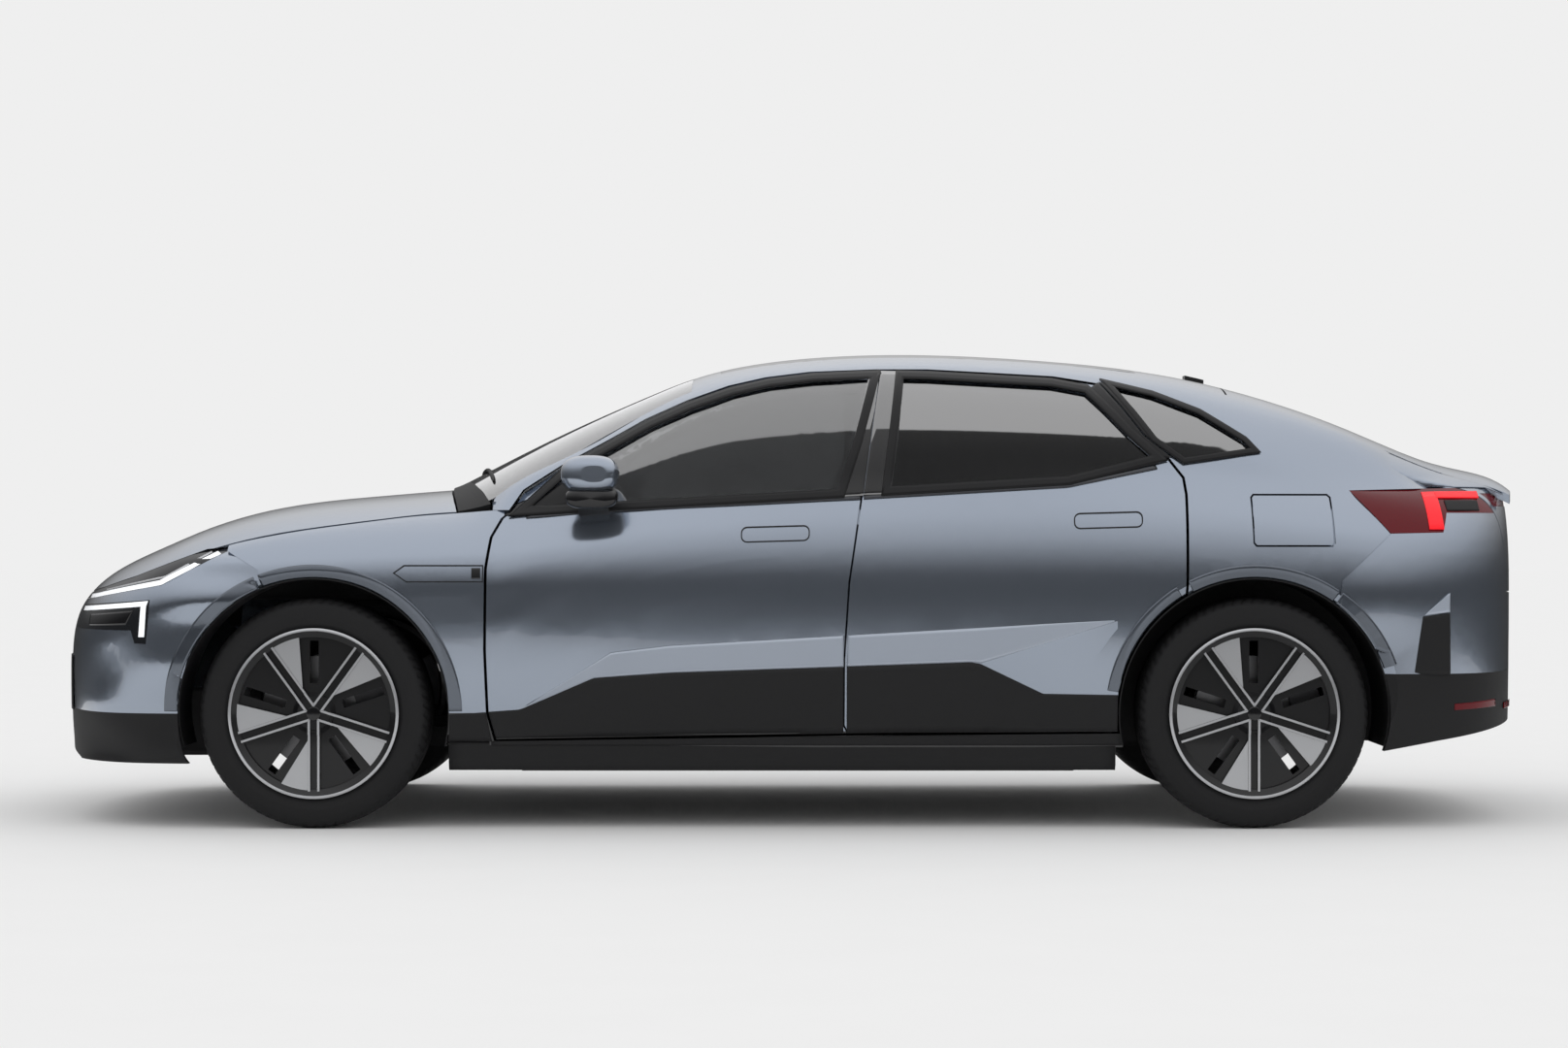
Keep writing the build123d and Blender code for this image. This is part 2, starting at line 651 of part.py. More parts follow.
def build_top():
    """Bonnet, cowl, windscreen, roof and tailgate."""
    bonnet_half = lambda x: min(shut_half(x) - SHUT_GAP - 2, plan_half(x) * 0.9)
    stations = [NOSE_X + d for d in (30, 55, 90, 140, 210, 310, 440)] + spread(fx(-320), fx(450), 6)
    bonnet = top_slab(bonnet_top, NOSE_X, fx(450), bonnet_half, 0, BONNET_WALL, stations, 11)
    bonnet = bonnet & full_prism(clip_top(BONNET_EDGE, fx(500), True))
    rear = arc_line(fx(BONNET_REAR), BONNET_SWEEP, 1000)
    bonnet = bonnet & top_prism(rear + [(NOSE_X - 200, 1000), (NOSE_X - 200, -1000)])
    ax, az = bonnet_axis()
    half = HINGE_NOTCH / 2
    for y in (-LID_PIN_Y, LID_PIN_Y):
        bonnet = bonnet - box(ax - 11, ax + 90, y - half, y + half, az - 70, az + 6.5)
        boss = box(ax - 14, ax + 14, y - half - 27, y + half + 27, az - 14, az + 4)
        boss = boss - box(ax - 15, ax + 15, y - half, y + half, az - 20, az + 20)
        bonnet = bonnet + boss
        bonnet = bonnet - across(ax, az, HINGE_PIN_R + PIN_CLEARANCE, y - half - 28, y + half + 28)
    keep("bonnet", solid_of(bonnet))
    cowl_half = lambda x: shut_half(x) - FIT_GAP
    cowl = top_slab(cowl_top, fx(372), fx(556), cowl_half, 0, 22, 5, 11)
    front = [(x + SHUT_GAP, y) for x, y in arc_line(fx(BONNET_REAR), BONNET_SWEEP, 900)]
    foot = arc_line(fx(SCREEN_FOOT), SCREEN_SWEEP, 900)
    keep("cowl_panel", solid_of(cowl & top_prism(front + foot[::-1])))
    edge = lambda x: opening_half(x) - FIT_GAP
    screen = top_slab(canopy_top, fx(SCREEN_FOOT) - 6, fx(ROOF_START) - FIT_GAP, edge, 0, GLASS_WALL, 9, 11)
    foot_line = [(x + FIT_GAP, y) for x, y in foot]
    screen = screen & top_prism(foot_line + [(fx(1400), 900), (fx(1400), -900)])
    keep("windscreen", solid_of(screen))
    roof = top_slab(canopy_top, fx(ROOF_START), rx(ROOF_END), edge, 0, ROOF_WALL, 10, 11)
    pane_box = [(fx(1290), -ROOF_GLASS_HALF), (rx(-330), -ROOF_GLASS_HALF), (rx(-330), ROOF_GLASS_HALF),
                (fx(1290), ROOF_GLASS_HALF)]
    roof = roof - top_prism(pane_box)
    header = top_slab(canopy_top, rx(-140), rx(-56), 500, ROOF_WALL - 2, 96, 3, 9)
    gx, gz = gate_axis()
    roof = roof + header
    keep("roof_panel", solid_of(roof))
    pane = top_slab(canopy_top, fx(1280), rx(-320), 480, 0, 6, 7, 9)
    keep("roof_glass", solid_of(pane & top_prism(inset(pane_box, FIT_GAP))))
    deck_half = lambda x: opening_half(x) - SHUT_GAP
    deck = top_slab(canopy_top, rx(GATE_START), rx(915), deck_half, 0, GATE_WALL, 9, 11)
    tail_edge = [(end_x(abs(y), WIDEST_Z, False) + 4, y) for y in spread(-760, 760, 25)]
    deck = deck & top_prism(tail_edge + [(rx(-300), 760), (rx(-300), -760)])
    face = end_slab(spread(GATE_LOW, 1088, 7), rx(560), False, 0, 36)
    face = face & box(rx(500), TAIL_X + 50, -GATE_HALF, GATE_HALF, 0, 2000)
    gate = deck + face
    slot = end_slab(spread(BAR_Z[0] - FIT_GAP, BAR_Z[1] + FIT_GAP, 4), rx(560), False, -4, 18)
    gate = gate - (slot & box(rx(500), TAIL_X + 50, -BAR_HALF - FIT_GAP, BAR_HALF + FIT_GAP, 0, 2000))
    for y in (-LID_PIN_Y, LID_PIN_Y):
        gate = gate - box(gx - 90, gx + 11, y - half, y + half, gz - 70, gz + 6.5)
        boss = box(gx - 14, gx + 14, y - half - 27, y + half + 27, gz - 14, gz + 4)
        boss = boss - box(gx - 15, gx + 15, y - half, y + half, gz - 20, gz + 20)
        gate = gate + boss
        gate = gate - across(gx, gz, HINGE_PIN_R + PIN_CLEARANCE, y - half - 28, y + half + 28)
    keep("tailgate", solid_of(gate))
    bar = end_slab(spread(BAR_Z[0], BAR_Z[1], 4), rx(560), False, 2, 17.7)
    keep("tail_light_bar", solid_of(bar & box(rx(500), TAIL_X + 50, -BAR_HALF, BAR_HALF, 0, 2000)))
    hinges = []
    for y in (-LID_PIN_Y, LID_PIN_Y):
        pin = across(ax, az, HINGE_PIN_R, y - half - 25, y + half + 25)
        hinges.append(pin + box(ax - 5, ax + 5, y - 20, y + 20, 895, az))
        pin = across(gx, gz, HINGE_PIN_R, y - half - 25, y + half + 25)
        strap = box(gx - 5, gx + 5, y - 20, y + 20, gz - 62, gz)
        arm = box(rx(-70), gx + 5, y - 20, y + 20, gz - 62, gz - 50)
        hinges.append(solid_of(pin + strap + arm - header))
    return hinges


def build_ends():
    """Wings, bumpers, lamps and lower trims."""
    wing_top = lambda x: min(bonnet_top(x, shut_half(x) + 3), WING_TOP)
    wing = side_slab(fx(-300), fx(600), 300, wing_top, 0, SKIN_WALL, 9, 11)
    outline = [(fx(-160), 300)] + BUMPER_LINE[::-1][:-1] + [(fx(-280), 886), (fx(-280), 1300), (fx(620), 1300)]
    outline += [(x - SHUT_GAP, z) for x, z in FRONT_DOOR[:7][::-1]]
    wing = wing & side_prism(inset(outline, FIT_GAP / 2))
    wing = wing - across(FRONT_AXLE_X, WHEEL_Z, ARCH_RADIUS + FIT_GAP, -1400, 0) - arch_flare(FRONT_AXLE_X)
    keep("front_wings", *both(solid_of(wing)))
    heights = [SILL_BOTTOM + 10, 320, 460, 590, 670, 705, 740, 780, 830, 870, 905]
    nose = end_slab(heights, fx(-140), True, 0, BUMPER_WALL, 11)
    nose = nose - across(FRONT_AXLE_X, WHEEL_Z, ARCH_RADIUS + FIT_GAP, -1400, 1400) - full_prism(FRONT_LIP)
    for flare in both(arch_flare(FRONT_AXLE_X)):
        nose = nose - flare
    below = clip_top(LAMP_LOW[:-1] + BUMPER_LINE, fx(0), False)
    lamp_zone = LAMP_LOW + [(fx(-281), 886)] + [(x - 12, z) for x, z in LAMP_TOP[:0:-1]] + LAMP_TOP[:1]
    middle = box(NOSE_X - 50, fx(0), -LAMP_INNER, LAMP_INNER, 600, 1000)
    upper = nose & full_prism(lamp_zone)
    lamps = upper - middle
    trim = nose & box(NOSE_X - 50, fx(0), -1200, 1200, 0, LOWER_TRIM_TOP)
    bumper = nose & full_prism(inset(below, FIT_GAP)) & box(
        NOSE_X - 50, fx(0), -1200, 1200, LOWER_TRIM_TOP + FIT_GAP, 1000)
    bumper = bumper + (upper & box(NOSE_X - 50, fx(0), -LAMP_INNER + FIT_GAP, LAMP_INNER - FIT_GAP, 600, 1000))
    low_lamp = [(NOSE_X + 60, 706), (fx(-518), 730), (fx(-531), 590), (fx(-570), 592), (fx(-582), 633),
                (NOSE_X + 60, 633)]
    low_prism = full_prism(low_lamp) - box(NOSE_X - 50, fx(0), -590, 590, 0, 1000)
    lower = nose & low_prism
    grown = full_prism(inset(low_lamp, -FIT_GAP)) - box(
        NOSE_X - 50, fx(0), -590 + FIT_GAP, 590 - FIT_GAP, 0, 1000)
    bumper = bumper - grown
    keep("front_bumper", solid_of(bumper))
    keep("front_lower_trim", solid_of(trim))
    keep("headlamps", lamps, lower)
    heights = [SILL_BOTTOM + 10, 340, 500, 660, 800, 920, 1010, 1092]
    tail = end_slab(heights, rx(200), False, 0, BUMPER_WALL, 11)
    tail = tail - across(REAR_AXLE_X, WHEEL_Z, ARCH_RADIUS + FIT_GAP, -1400, 1400) - full_prism(REAR_SWEEP)
    for flare in both(arch_flare(REAR_AXLE_X)):
        tail = tail - flare
    zone = BUMPER_ZONE
    gate_hole = box(rx(400), TAIL_X + 60, -GATE_HALF - SHUT_GAP, GATE_HALF + SHUT_GAP, GATE_LOW - SHUT_GAP, 2000)
    painted = tail & full_prism(zone) & box(
        rx(100), TAIL_X + 60, -1200, 1200, REAR_TRIM_TOP + FIT_GAP, 1020)
    vent = side_slab(rx(480), rx(650), 480, 700, -4, VENT_DEPTH, 4, 5) & side_prism(REAR_VENT)
    for recess in both(vent):
        painted = painted - recess
    keep("rear_bumper", solid_of(painted - gate_hole))
    keep("rear_lower_trim", solid_of(tail & full_prism(zone) & box(
        rx(100), TAIL_X + 60, -1200, 1200, 0, REAR_TRIM_TOP)))
    tail_lamps = (tail & full_prism(inset(TAIL_LAMP, FIT_GAP / 2))) - gate_hole
    keep("tail_lamps", tail_lamps)


def build_chassis():
    """Floor, battery, liners, subframes, drive units and knuckles."""
    floor = box(fx(520), rx(-450), -FLOOR_HALF, FLOOR_HALF, FLOOR_Z - FLOOR_WALL, FLOOR_Z)
    floor = floor + box(fx(520), fx(535), -FLOOR_HALF, FLOOR_HALF, FLOOR_Z - FLOOR_WALL, 1000)
    floor = floor + box(rx(-465), rx(-450), -FLOOR_HALF, FLOOR_HALF, FLOOR_Z - FLOOR_WALL, BOOT_Z)
    floor = floor + box(rx(-465), rx(800), -600, 600, BOOT_Z - FLOOR_WALL, BOOT_Z)
    floor = floor + box(fx(295), fx(525), -485.7, 485.7, 880, 895)
    keep("floor_pan", floor)
    keep("battery_pack", box(fx(640), rx(-550), -640, 640, FLOOR_Z - FLOOR_WALL - BATTERY_HEIGHT, FLOOR_Z - FLOOR_WALL))
    liners = []
    for axle, inner in ((FRONT_AXLE_X, -490), (REAR_AXLE_X, -640)):
        tube = across(axle, WHEEL_Z, ARCH_RADIUS, -1100, inner)
        tube = tube - across(axle, WHEEL_Z, ARCH_RADIUS - LINER_WALL, -1200, inner - LINER_WALL)
        tube = tube - across(axle, WHEEL_Z, 160, -1200, inner + 10)
        tube = tube & box(axle - 500, axle + 500, -1100, 0, 262, 1000)
        skin = side_slab(axle - 480, axle + 480, 200, 870, 12, 240, 6, 9)
        shell = skin + box(axle - 480, axle + 480, -800, inner, 200, 870)
        liners.extend(both(solid_of(tube & shell)))
    keep("wheel_arch_liners", *liners)
    tray = top_slab(bonnet_top, NOSE_X + 260, fx(290), 485.7, 62, 90, 6, 11)
    wall = box(fx(262), fx(295) - FIT_GAP, -485.7, 485.7, 870, 1000)
    keep("frunk_cover", solid_of(tray + wall))
    frames = []
    for axle, sign in ((FRONT_AXLE_X, 1), (REAR_AXLE_X, -1)):
        beam = box(axle - 120, axle + 120, -420, 420, 200, 290)
        end = fx(520) if sign > 0 else rx(-450)
        for y in (-330, 330):
            beam = beam + box(min(axle, end), max(axle, end), y - 30, y + 30, 226, 290)
        frames.append(beam)
    king_y = WHEEL_Y - KINGPIN_INSET
    front = frames[0]
    for s in (-1, 1):
        arm = box(FRONT_AXLE_X - 40, FRONT_AXLE_X + 40, min(s * 400, s * king_y), max(s * 400, s * king_y), 205, 240)
        front = front + arm + upright(FRONT_AXLE_X, s * king_y, 40, 205, 240)
    for s in (-1, 1):
        front = front - upright(FRONT_AXLE_X, s * king_y, 14 + PIN_CLEARANCE, 190, 260)
    keep("front_subframe", front)
    rear = frames[1]
    for s in (-1, 1):
        y0, y1 = sorted((s * 400, s * (king_y - 30)))
        rear = rear + box(REAR_AXLE_X - 40, REAR_AXLE_X + 40, y0, y1, 205, 240)
    keep("rear_subframe", rear)
    keep("drive_units", box(fx(-115), fx(115), -210, 210, 290, 520), box(rx(-115), rx(115), -240, 240, 290, 540))
    steer = knuckle(FRONT_AXLE_X) + upright(FRONT_AXLE_X, -king_y, 14, 200, 300)
    keep("knuckle_front_left", solid_of(steer))
    keep("knuckle_front_right", mirrored(solid_of(steer)))
    fixed = knuckle(REAR_AXLE_X) + box(REAR_AXLE_X - 40, REAR_AXLE_X + 40, -king_y - 29, -king_y + 30, 205, 320)
    keep("rear_knuckles", *both(solid_of(fixed)))


STUB_END = 40
DISC_HAT = 46
SPOKES = 5
BLADE_BACK = 84
BLADE_FRONT = 98
SPOKE_FRONT = 112
SPOKE_HALF = 19
GROOVE_HALF = 11
GROOVE_DEPTH = 9
SLOT_HALF = 14
SLOT_REACH = (96, 232)
WEDGE_START = 84
WEDGE_ANGLE = 25


def knuckle(axle):
    """Left upright with stub axle and brake caliper."""
    king_y = WHEEL_Y - KINGPIN_INSET
    body = upright(axle, -king_y, 26, 246, 470)
    body = body + across(axle, WHEEL_Z, 62, -king_y - 32, -king_y + 34)
    body = body + across(axle, WHEEL_Z, STUB_RADIUS, -WHEEL_Y - STUB_END, -king_y)
    caliper = across(axle, WHEEL_Z, 226, -WHEEL_Y - 36, -WHEEL_Y + 32)
    caliper = caliper - across(axle, WHEEL_Z, 130, -1000, -700)
    caliper = caliper & side_prism([(axle, WHEEL_Z), (axle + 400, WHEEL_Z + 260), (axle + 400, WHEEL_Z - 120)])
    slot = across(axle, WHEEL_Z, DISC_RADIUS + 7, -WHEEL_Y - 18, -WHEEL_Y + 18)
    bracket = box(axle + 20, axle + 150, -king_y - 28, -king_y + 10, WHEEL_Z - 30, WHEEL_Z + 50)
    return solid_of(body + bracket + (caliper - slot))


def wheel_prism(points, y0, y1):
    """Outline in the plane of a left wheel, measured from its hub, between two outboard depths."""
    wire = Wire.make_polygon([(x, -WHEEL_Y - y1, WHEEL_Z + z) for x, z in points])
    return Solid.extrude(Face(wire), Vector(0, y1 - y0, 0))


def bar(half, r0, r1):
    return [(-half, r0), (half, r0), (half, r1), (-half, r1)]


def left_wheel():
    """Tyre, five-spoke rim with slotted blades, and brake disc of a left wheel at station zero."""
    half = TYRE_WIDTH / 2
    bead = RIM_RADIUS - 14
    axle = Axis((0, 0, WHEEL_Z), (0, 1, 0))

    def spin(points):
        wire = Wire.make_polygon([(0, -WHEEL_Y - w, WHEEL_Z + r) for r, w in points])
        return Solid.revolve(Face(wire), 360, axle)

    profile = [
        (bead, -RIM_WIDTH / 2 + 19), (RIM_RADIUS + 6, -RIM_WIDTH / 2 + 17), (bead + 60, -half),
        (TYRE_RADIUS - 34, -half + 6), (TYRE_RADIUS - 9, -half + 32), (TYRE_RADIUS, -half + 70),
    ]
    tyre = spin(profile + [(r, -w) for r, w in profile[::-1]])
    rim = spin([
        (RIM_RADIUS, RIM_WIDTH / 2 + 8), (RIM_RADIUS, RIM_WIDTH / 2), (bead - 0.3, RIM_WIDTH / 2 - 14),
        (bead - 0.3, -RIM_WIDTH / 2 + 14), (RIM_RADIUS - 10, -RIM_WIDTH / 2), (RIM_RADIUS - 10, -RIM_WIDTH / 2 - 6),
        (bead - 14, -RIM_WIDTH / 2 + 2), (bead - 14, RIM_WIDTH / 2 - 8), (RIM_RADIUS - 9, RIM_WIDTH / 2 + 8),
    ])
    face = spin([(0, BLADE_FRONT), (0, BLADE_BACK), (bead - 8, BLADE_BACK), (bead - 8, BLADE_FRONT)])
    slot = wheel_prism(bar(SLOT_HALF, *SLOT_REACH), BLADE_BACK - 5, BLADE_FRONT + 5)
    spoke = wheel_prism(bar(SPOKE_HALF, 20, bead - 9), BLADE_BACK, SPOKE_FRONT)
    spoke = spoke - wheel_prism(bar(GROOVE_HALF, 62, bead + 10), SPOKE_FRONT - GROOVE_DEPTH, SPOKE_FRONT + 5)
    tip = math.radians(WEDGE_ANGLE)
    reach = bead - 9
    wedge = wheel_prism([
        (SPOKE_HALF - 1, WEDGE_START), (reach * math.sin(tip), reach * math.cos(tip)), (SPOKE_HALF - 1, reach - 4),
    ], BLADE_BACK + 2, SPOKE_FRONT - 3)
    for k in range(SPOKES):
        turn = 360 / SPOKES * k
        face = face - slot.rotate(axle, turn)
    for k in range(SPOKES):
        turn = 360 / SPOKES * (k + 0.5)
        face = face + (spoke + wedge).rotate(axle, turn)
    hub = spin([(0, DISC_HAT), (78, DISC_HAT), (78, BLADE_BACK + 4), (52, SPOKE_FRONT + 4), (0, SPOKE_FRONT + 4)])
    face = face + hub - across(0, WHEEL_Z, STUB_RADIUS + 4, -WHEEL_Y - STUB_END - 20, 0)
    disc = across(0, WHEEL_Z, DISC_RADIUS, -WHEEL_Y - 12, -WHEEL_Y + 12)
    disc = disc + across(0, WHEEL_Z, 92, -WHEEL_Y - DISC_HAT, -WHEEL_Y + 12)
    disc = disc - across(0, WHEEL_Z, STUB_RADIUS + PIN_CLEARANCE, -1200, 0)
    return {"tyre": tyre, "rim": solid_of(rim + face), "brake_disc": disc}


def build_wheels():
    """One wheel set, copied to the four corners."""
    for piece, shape in left_wheel().items():
        for place, axle in (("front", FRONT_AXLE_X), ("rear", REAR_AXLE_X)):
            left = shape.moved(Location((axle, 0, 0)))
            keep(f"{piece}_{place}_left", left)
            keep(f"{piece}_{place}_right", mirrored(left))


# Mirror head: lateral place, centre and half sizes of its rounded sections
MIRROR_SECTIONS = [
    (-905, fx(878), 1122, 58, 34), (-948, fx(882), 1128, 84, 52), (-1008, fx(884), 1130, 92, 60),
    (-1050, fx(890), 1130, 74, 48), (-1068, fx(898), 1130, 40, 26),
]


def oval(y, x, z, half_x, half_z, count=16):
    """Rounded closed section in a side-view plane."""
    points = []
    for i in range(count):
        c = math.cos(2 * math.pi * i / count)
        s = math.sin(2 * math.pi * i / count)
        u = math.copysign(abs(c) ** 0.75, c)
        v = math.copysign(abs(s) ** 0.75, s)
        points.append((x + half_x * u, y, z + half_z * v))
    return Wire([Edge.make_spline(points, periodic=True)])


def block(points, y0, y1):
    return side_prism(points, y0, y1)


def build_cabin():
    """Dashboard, steering wheel, seats and mirrors."""
    dash = block([(fx(535), 640), (fx(760), 640), (fx(900), 760), (fx(930), 900), (fx(860), 985),
                  (fx(535), 1010)], -745, 745)
    console = block([(fx(640), FLOOR_Z), (fx(1840), FLOOR_Z), (fx(1840), 500), (fx(900), 548), (fx(640), 548)], -105, 105)
    riser = box(fx(640), fx(740), -105, 105, 548, 640)
    screen = block([(fx(890), 900), (fx(902), 896), (fx(880), 1120), (fx(868), 1124)], -170, 170)
    keep("dashboard", dash, console, riser, solid_of(screen - dash))
    seats = []
    for y in (-370, 370):
        cushion = block([(fx(1180), 330), (fx(1720), 300), (fx(1740), 430), (fx(1200), 500)], y - 255, y + 255)
        back = block([(fx(1640), 380), (fx(1760), 360), (fx(1960), 1000), (fx(1880), 1040)], y - 245, y + 245)
        head = block([(fx(1905), 1045), (fx(1975), 1015), (fx(2030), 1180), (fx(1950), 1200)], y - 135, y + 135)
        stem = block([(fx(1910), 1000), (fx(1945), 990), (fx(1975), 1090), (fx(1940), 1095)], y - 40, y + 40)
        foot = box(fx(1260), fx(1660), y - 200, y + 200, FLOOR_Z, 340)
        seats.append(solid_of(cushion + back + head + stem + foot))
    keep("front_seats", *seats)
    cushion = block([(rx(-880), FLOOR_Z), (rx(-465), FLOOR_Z), (rx(-465), 500), (rx(-900), 540)], -640, 640)
    back = block([(rx(-540), 460), (rx(-472), 460), (rx(-472), BOOT_Z), (rx(-330), BOOT_Z), (rx(-150), 1010), (rx(-250), 1040)], -600, 600)
    keep("rear_bench", solid_of(cushion + back))
    hub = Plane(origin=(fx(1010), -370, 930), z_dir=(-0.906, 0, -0.423))
    ring = Solid.make_torus(182, 15, hub)
    column = Solid.make_cylinder(40, 125, hub)
    bar = Solid.make_box(24, 360, 22, Plane(origin=hub.origin - hub.x_dir * 12 - hub.y_dir * 180, x_dir=hub.x_dir, z_dir=hub.z_dir))
    wheel = solid_of(ring + column + bar)
    keep("steering_wheel", wheel - dash)
    head = Solid.make_loft([oval(*section) for section in MIRROR_SECTIONS])
    stalk = Solid.make_loft([
        Wire.make_polygon([(x, y, z) for x, z in outline]) for y, outline in (
            (-900, [(fx(846), 985), (fx(946), 985), (fx(946), 1030), (fx(846), 1030)]),
            (-975, [(fx(838), 1050), (fx(930), 1050), (fx(930), 1100), (fx(838), 1100)]),
        )], ruled=True)
    head = solid_of(head + stalk)
    mirror_left = solid_of(head - PARTS["door_front_left"][0])
    keep("mirror_left", mirror_left)
    keep("mirror_right", mirrored(mirror_left))
    keep("roof_camera_pod", top_slab(canopy_top, rx(-115), rx(-50), 35, -30, -FIT_GAP, 3, 5))


def flap_axis():
    """Two points of the charge flap's leaning hinge line."""
    x = rx(FLAP_SETBACK)
    low = Vector(x, -body_side(x, 950), 950)
    high = Vector(x, -body_side(x, 1010), 1010)
    along = (high - low).normalized()
    inward = Vector(0, along.Z, -along.Y)
    surface = Vector(x, -body_side(x, 980), 980)
    return surface + inward * FLAP_WALL / 2, along, inward


def build_flap(left):
    """Charge flap in its pocket on the left quarter."""
    zone = (rx(-30), rx(290), 870, 1100)
    pocket = side_slab(*zone, -6, FLAP_POCKET, 4, 7) & side_prism(inset(FLAP, -SHUT_GAP))
    flap = side_slab(*zone, 0, FLAP_WALL, 4, 7) & side_prism(FLAP)
    middle, along, inward = flap_axis()
    frame = Plane(origin=middle, x_dir=(1, 0, 0), z_dir=along)
    notch = Solid.make_box(60, 60, 44).moved(Location((-50, -3.2, -22)))
    if (frame.y_dir - inward).length > 1:
        notch = notch.mirror(Plane.XZ)
    flap = flap - notch.moved(frame.location)
    flap = flap - Solid.make_cylinder(FLAP_PIN_R + PIN_CLEARANCE, 92, Plane(frame.origin - along * 46, z_dir=along))
    pin = Solid.make_cylinder(FLAP_PIN_R, 88, Plane(frame.origin - along * 44, z_dir=along))
    depth = FLAP_POCKET - FLAP_WALL / 2 - FIT_GAP
    strap = Solid.make_box(5, depth, 30).moved(Location((-2.5, 0, -15)))
    if (frame.y_dir - inward).length > 1:
        strap = strap.mirror(Plane.XZ)
    keep("charge_flap", solid_of(flap))
    keep("body_side_left", solid_of(left - pocket))
    return pin + strap.moved(frame.location)


FLAP_SETBACK = 12
FLAP_PIN_R = 2.5


if __name__ == "__main__":
    left = build_sides()
    hinges = build_doors()
    keep("body_side_right", mirrored(left))
    hinges.append(build_flap(left))
    hinges += build_top()
    keep("hinges", *hinges)
    build_ends()
    build_chassis()
    build_wheels()
    build_cabin()
    os.makedirs("parts", exist_ok=True)
    for name, solids in PARTS.items():
        shape = solids[0] if len(solids) == 1 else Compound(solids)
        export_step(shape, f"parts/{name}.step")
        print(name, len(solids), [round(s.volume / 1e6, 2) for s in solids], all(s.is_valid for s in solids))
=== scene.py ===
import bpy
import math
import numpy as np
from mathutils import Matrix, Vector
from mathutils.bvhtree import BVHTree


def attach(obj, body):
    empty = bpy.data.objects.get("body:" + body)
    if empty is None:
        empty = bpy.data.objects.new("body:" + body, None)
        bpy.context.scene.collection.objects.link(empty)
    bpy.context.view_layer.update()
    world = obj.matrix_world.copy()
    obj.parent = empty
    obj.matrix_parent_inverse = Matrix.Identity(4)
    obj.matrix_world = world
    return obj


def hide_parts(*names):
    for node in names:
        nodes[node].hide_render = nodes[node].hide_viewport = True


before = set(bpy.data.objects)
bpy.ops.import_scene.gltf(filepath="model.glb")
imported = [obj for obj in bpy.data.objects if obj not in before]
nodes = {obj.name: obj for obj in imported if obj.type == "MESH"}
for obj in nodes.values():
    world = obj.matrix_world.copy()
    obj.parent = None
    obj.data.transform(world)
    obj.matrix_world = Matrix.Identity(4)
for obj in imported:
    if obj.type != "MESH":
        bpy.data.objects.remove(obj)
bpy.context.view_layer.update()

# Shapes are worked out in millimetres, +X nose to tail, +Y to the vehicle's right, +Z up.
MM = 0.001
FRONT_AXLE_X = -1520.0
REAR_AXLE_X = 1479.0
NOSE_X = -2420.0
TAIL_X = 2420.0
HALF = 1000.0
ROOF_TOP = 1546.0
BONNET_TOP = 1092.0
SILL_BOTTOM = 197.0
CANOPY_BASE = 950.0
WHEEL_Y = 848.0
TYRE_RADIUS = 368.0
WHEEL_Z = TYRE_RADIUS
ARCH_RADIUS = 432.0
FULL_TURN = 2 * math.pi


def fx(offset):
    """Station at a distance behind the front axle."""
    return FRONT_AXLE_X + offset


def rx(offset):
    """Station at a distance behind the rear axle."""
    return REAR_AXLE_X + offset


# Body surface

WIDEST_Z = 780.0
WIDEST_DROP = 230.0
WIDEST_BLEND = 90.0
SIDE_TUCK = 0.062
NOSE_ROUND = 470.0
TAIL_ROUND = 440.0
WING_END_X = fx(340)
SCREEN_FOOT_X = fx(200)
SCREEN_TOP_X = fx(1520)
SCREEN_LENGTH = 1150.0
SCREEN_SWEEP = 150.0
SWEEP_HALF = 800.0
CANOPY_BLEND = 46.0
CANOPY_HALVINGS = 36
END_HALVINGS = 40


def natural_curve(points):
    """Natural cubic spline through given points, straight beyond both ends."""
    xs = np.array([p[0] for p in points], float)
    ys = np.array([p[1] for p in points], float)
    n = len(xs)
    h = np.diff(xs)
    system = np.eye(n)
    right = np.zeros(n)
    for i in range(1, n - 1):
        system[i, i - 1:i + 2] = (h[i - 1], 2 * (h[i - 1] + h[i]), h[i])
        right[i] = 6 * ((ys[i + 1] - ys[i]) / h[i] - (ys[i] - ys[i - 1]) / h[i - 1])
    bend = np.linalg.solve(system, right)
    first = (ys[1] - ys[0]) / h[0] - h[0] * bend[1] / 6
    last = (ys[-1] - ys[-2]) / h[-1] + h[-1] * bend[-2] / 6

    def value(x):
        """Cubic of the span that holds x, or the end tangent beyond the spans."""
        x = np.asarray(x, float)
        i = np.clip(np.searchsorted(xs, x) - 1, 0, n - 2)
        a = (xs[i + 1] - x) / h[i]
        b = 1 - a
        inside = a * ys[i] + b * ys[i + 1]
        inside = inside + ((a ** 3 - a) * bend[i] + (b ** 3 - b) * bend[i + 1]) * h[i] ** 2 / 6
        inside = np.where(x < xs[0], ys[0] + first * (x - xs[0]), inside)
        return np.where(x > xs[-1], ys[-1] + last * (x - xs[-1]), inside)

    return value


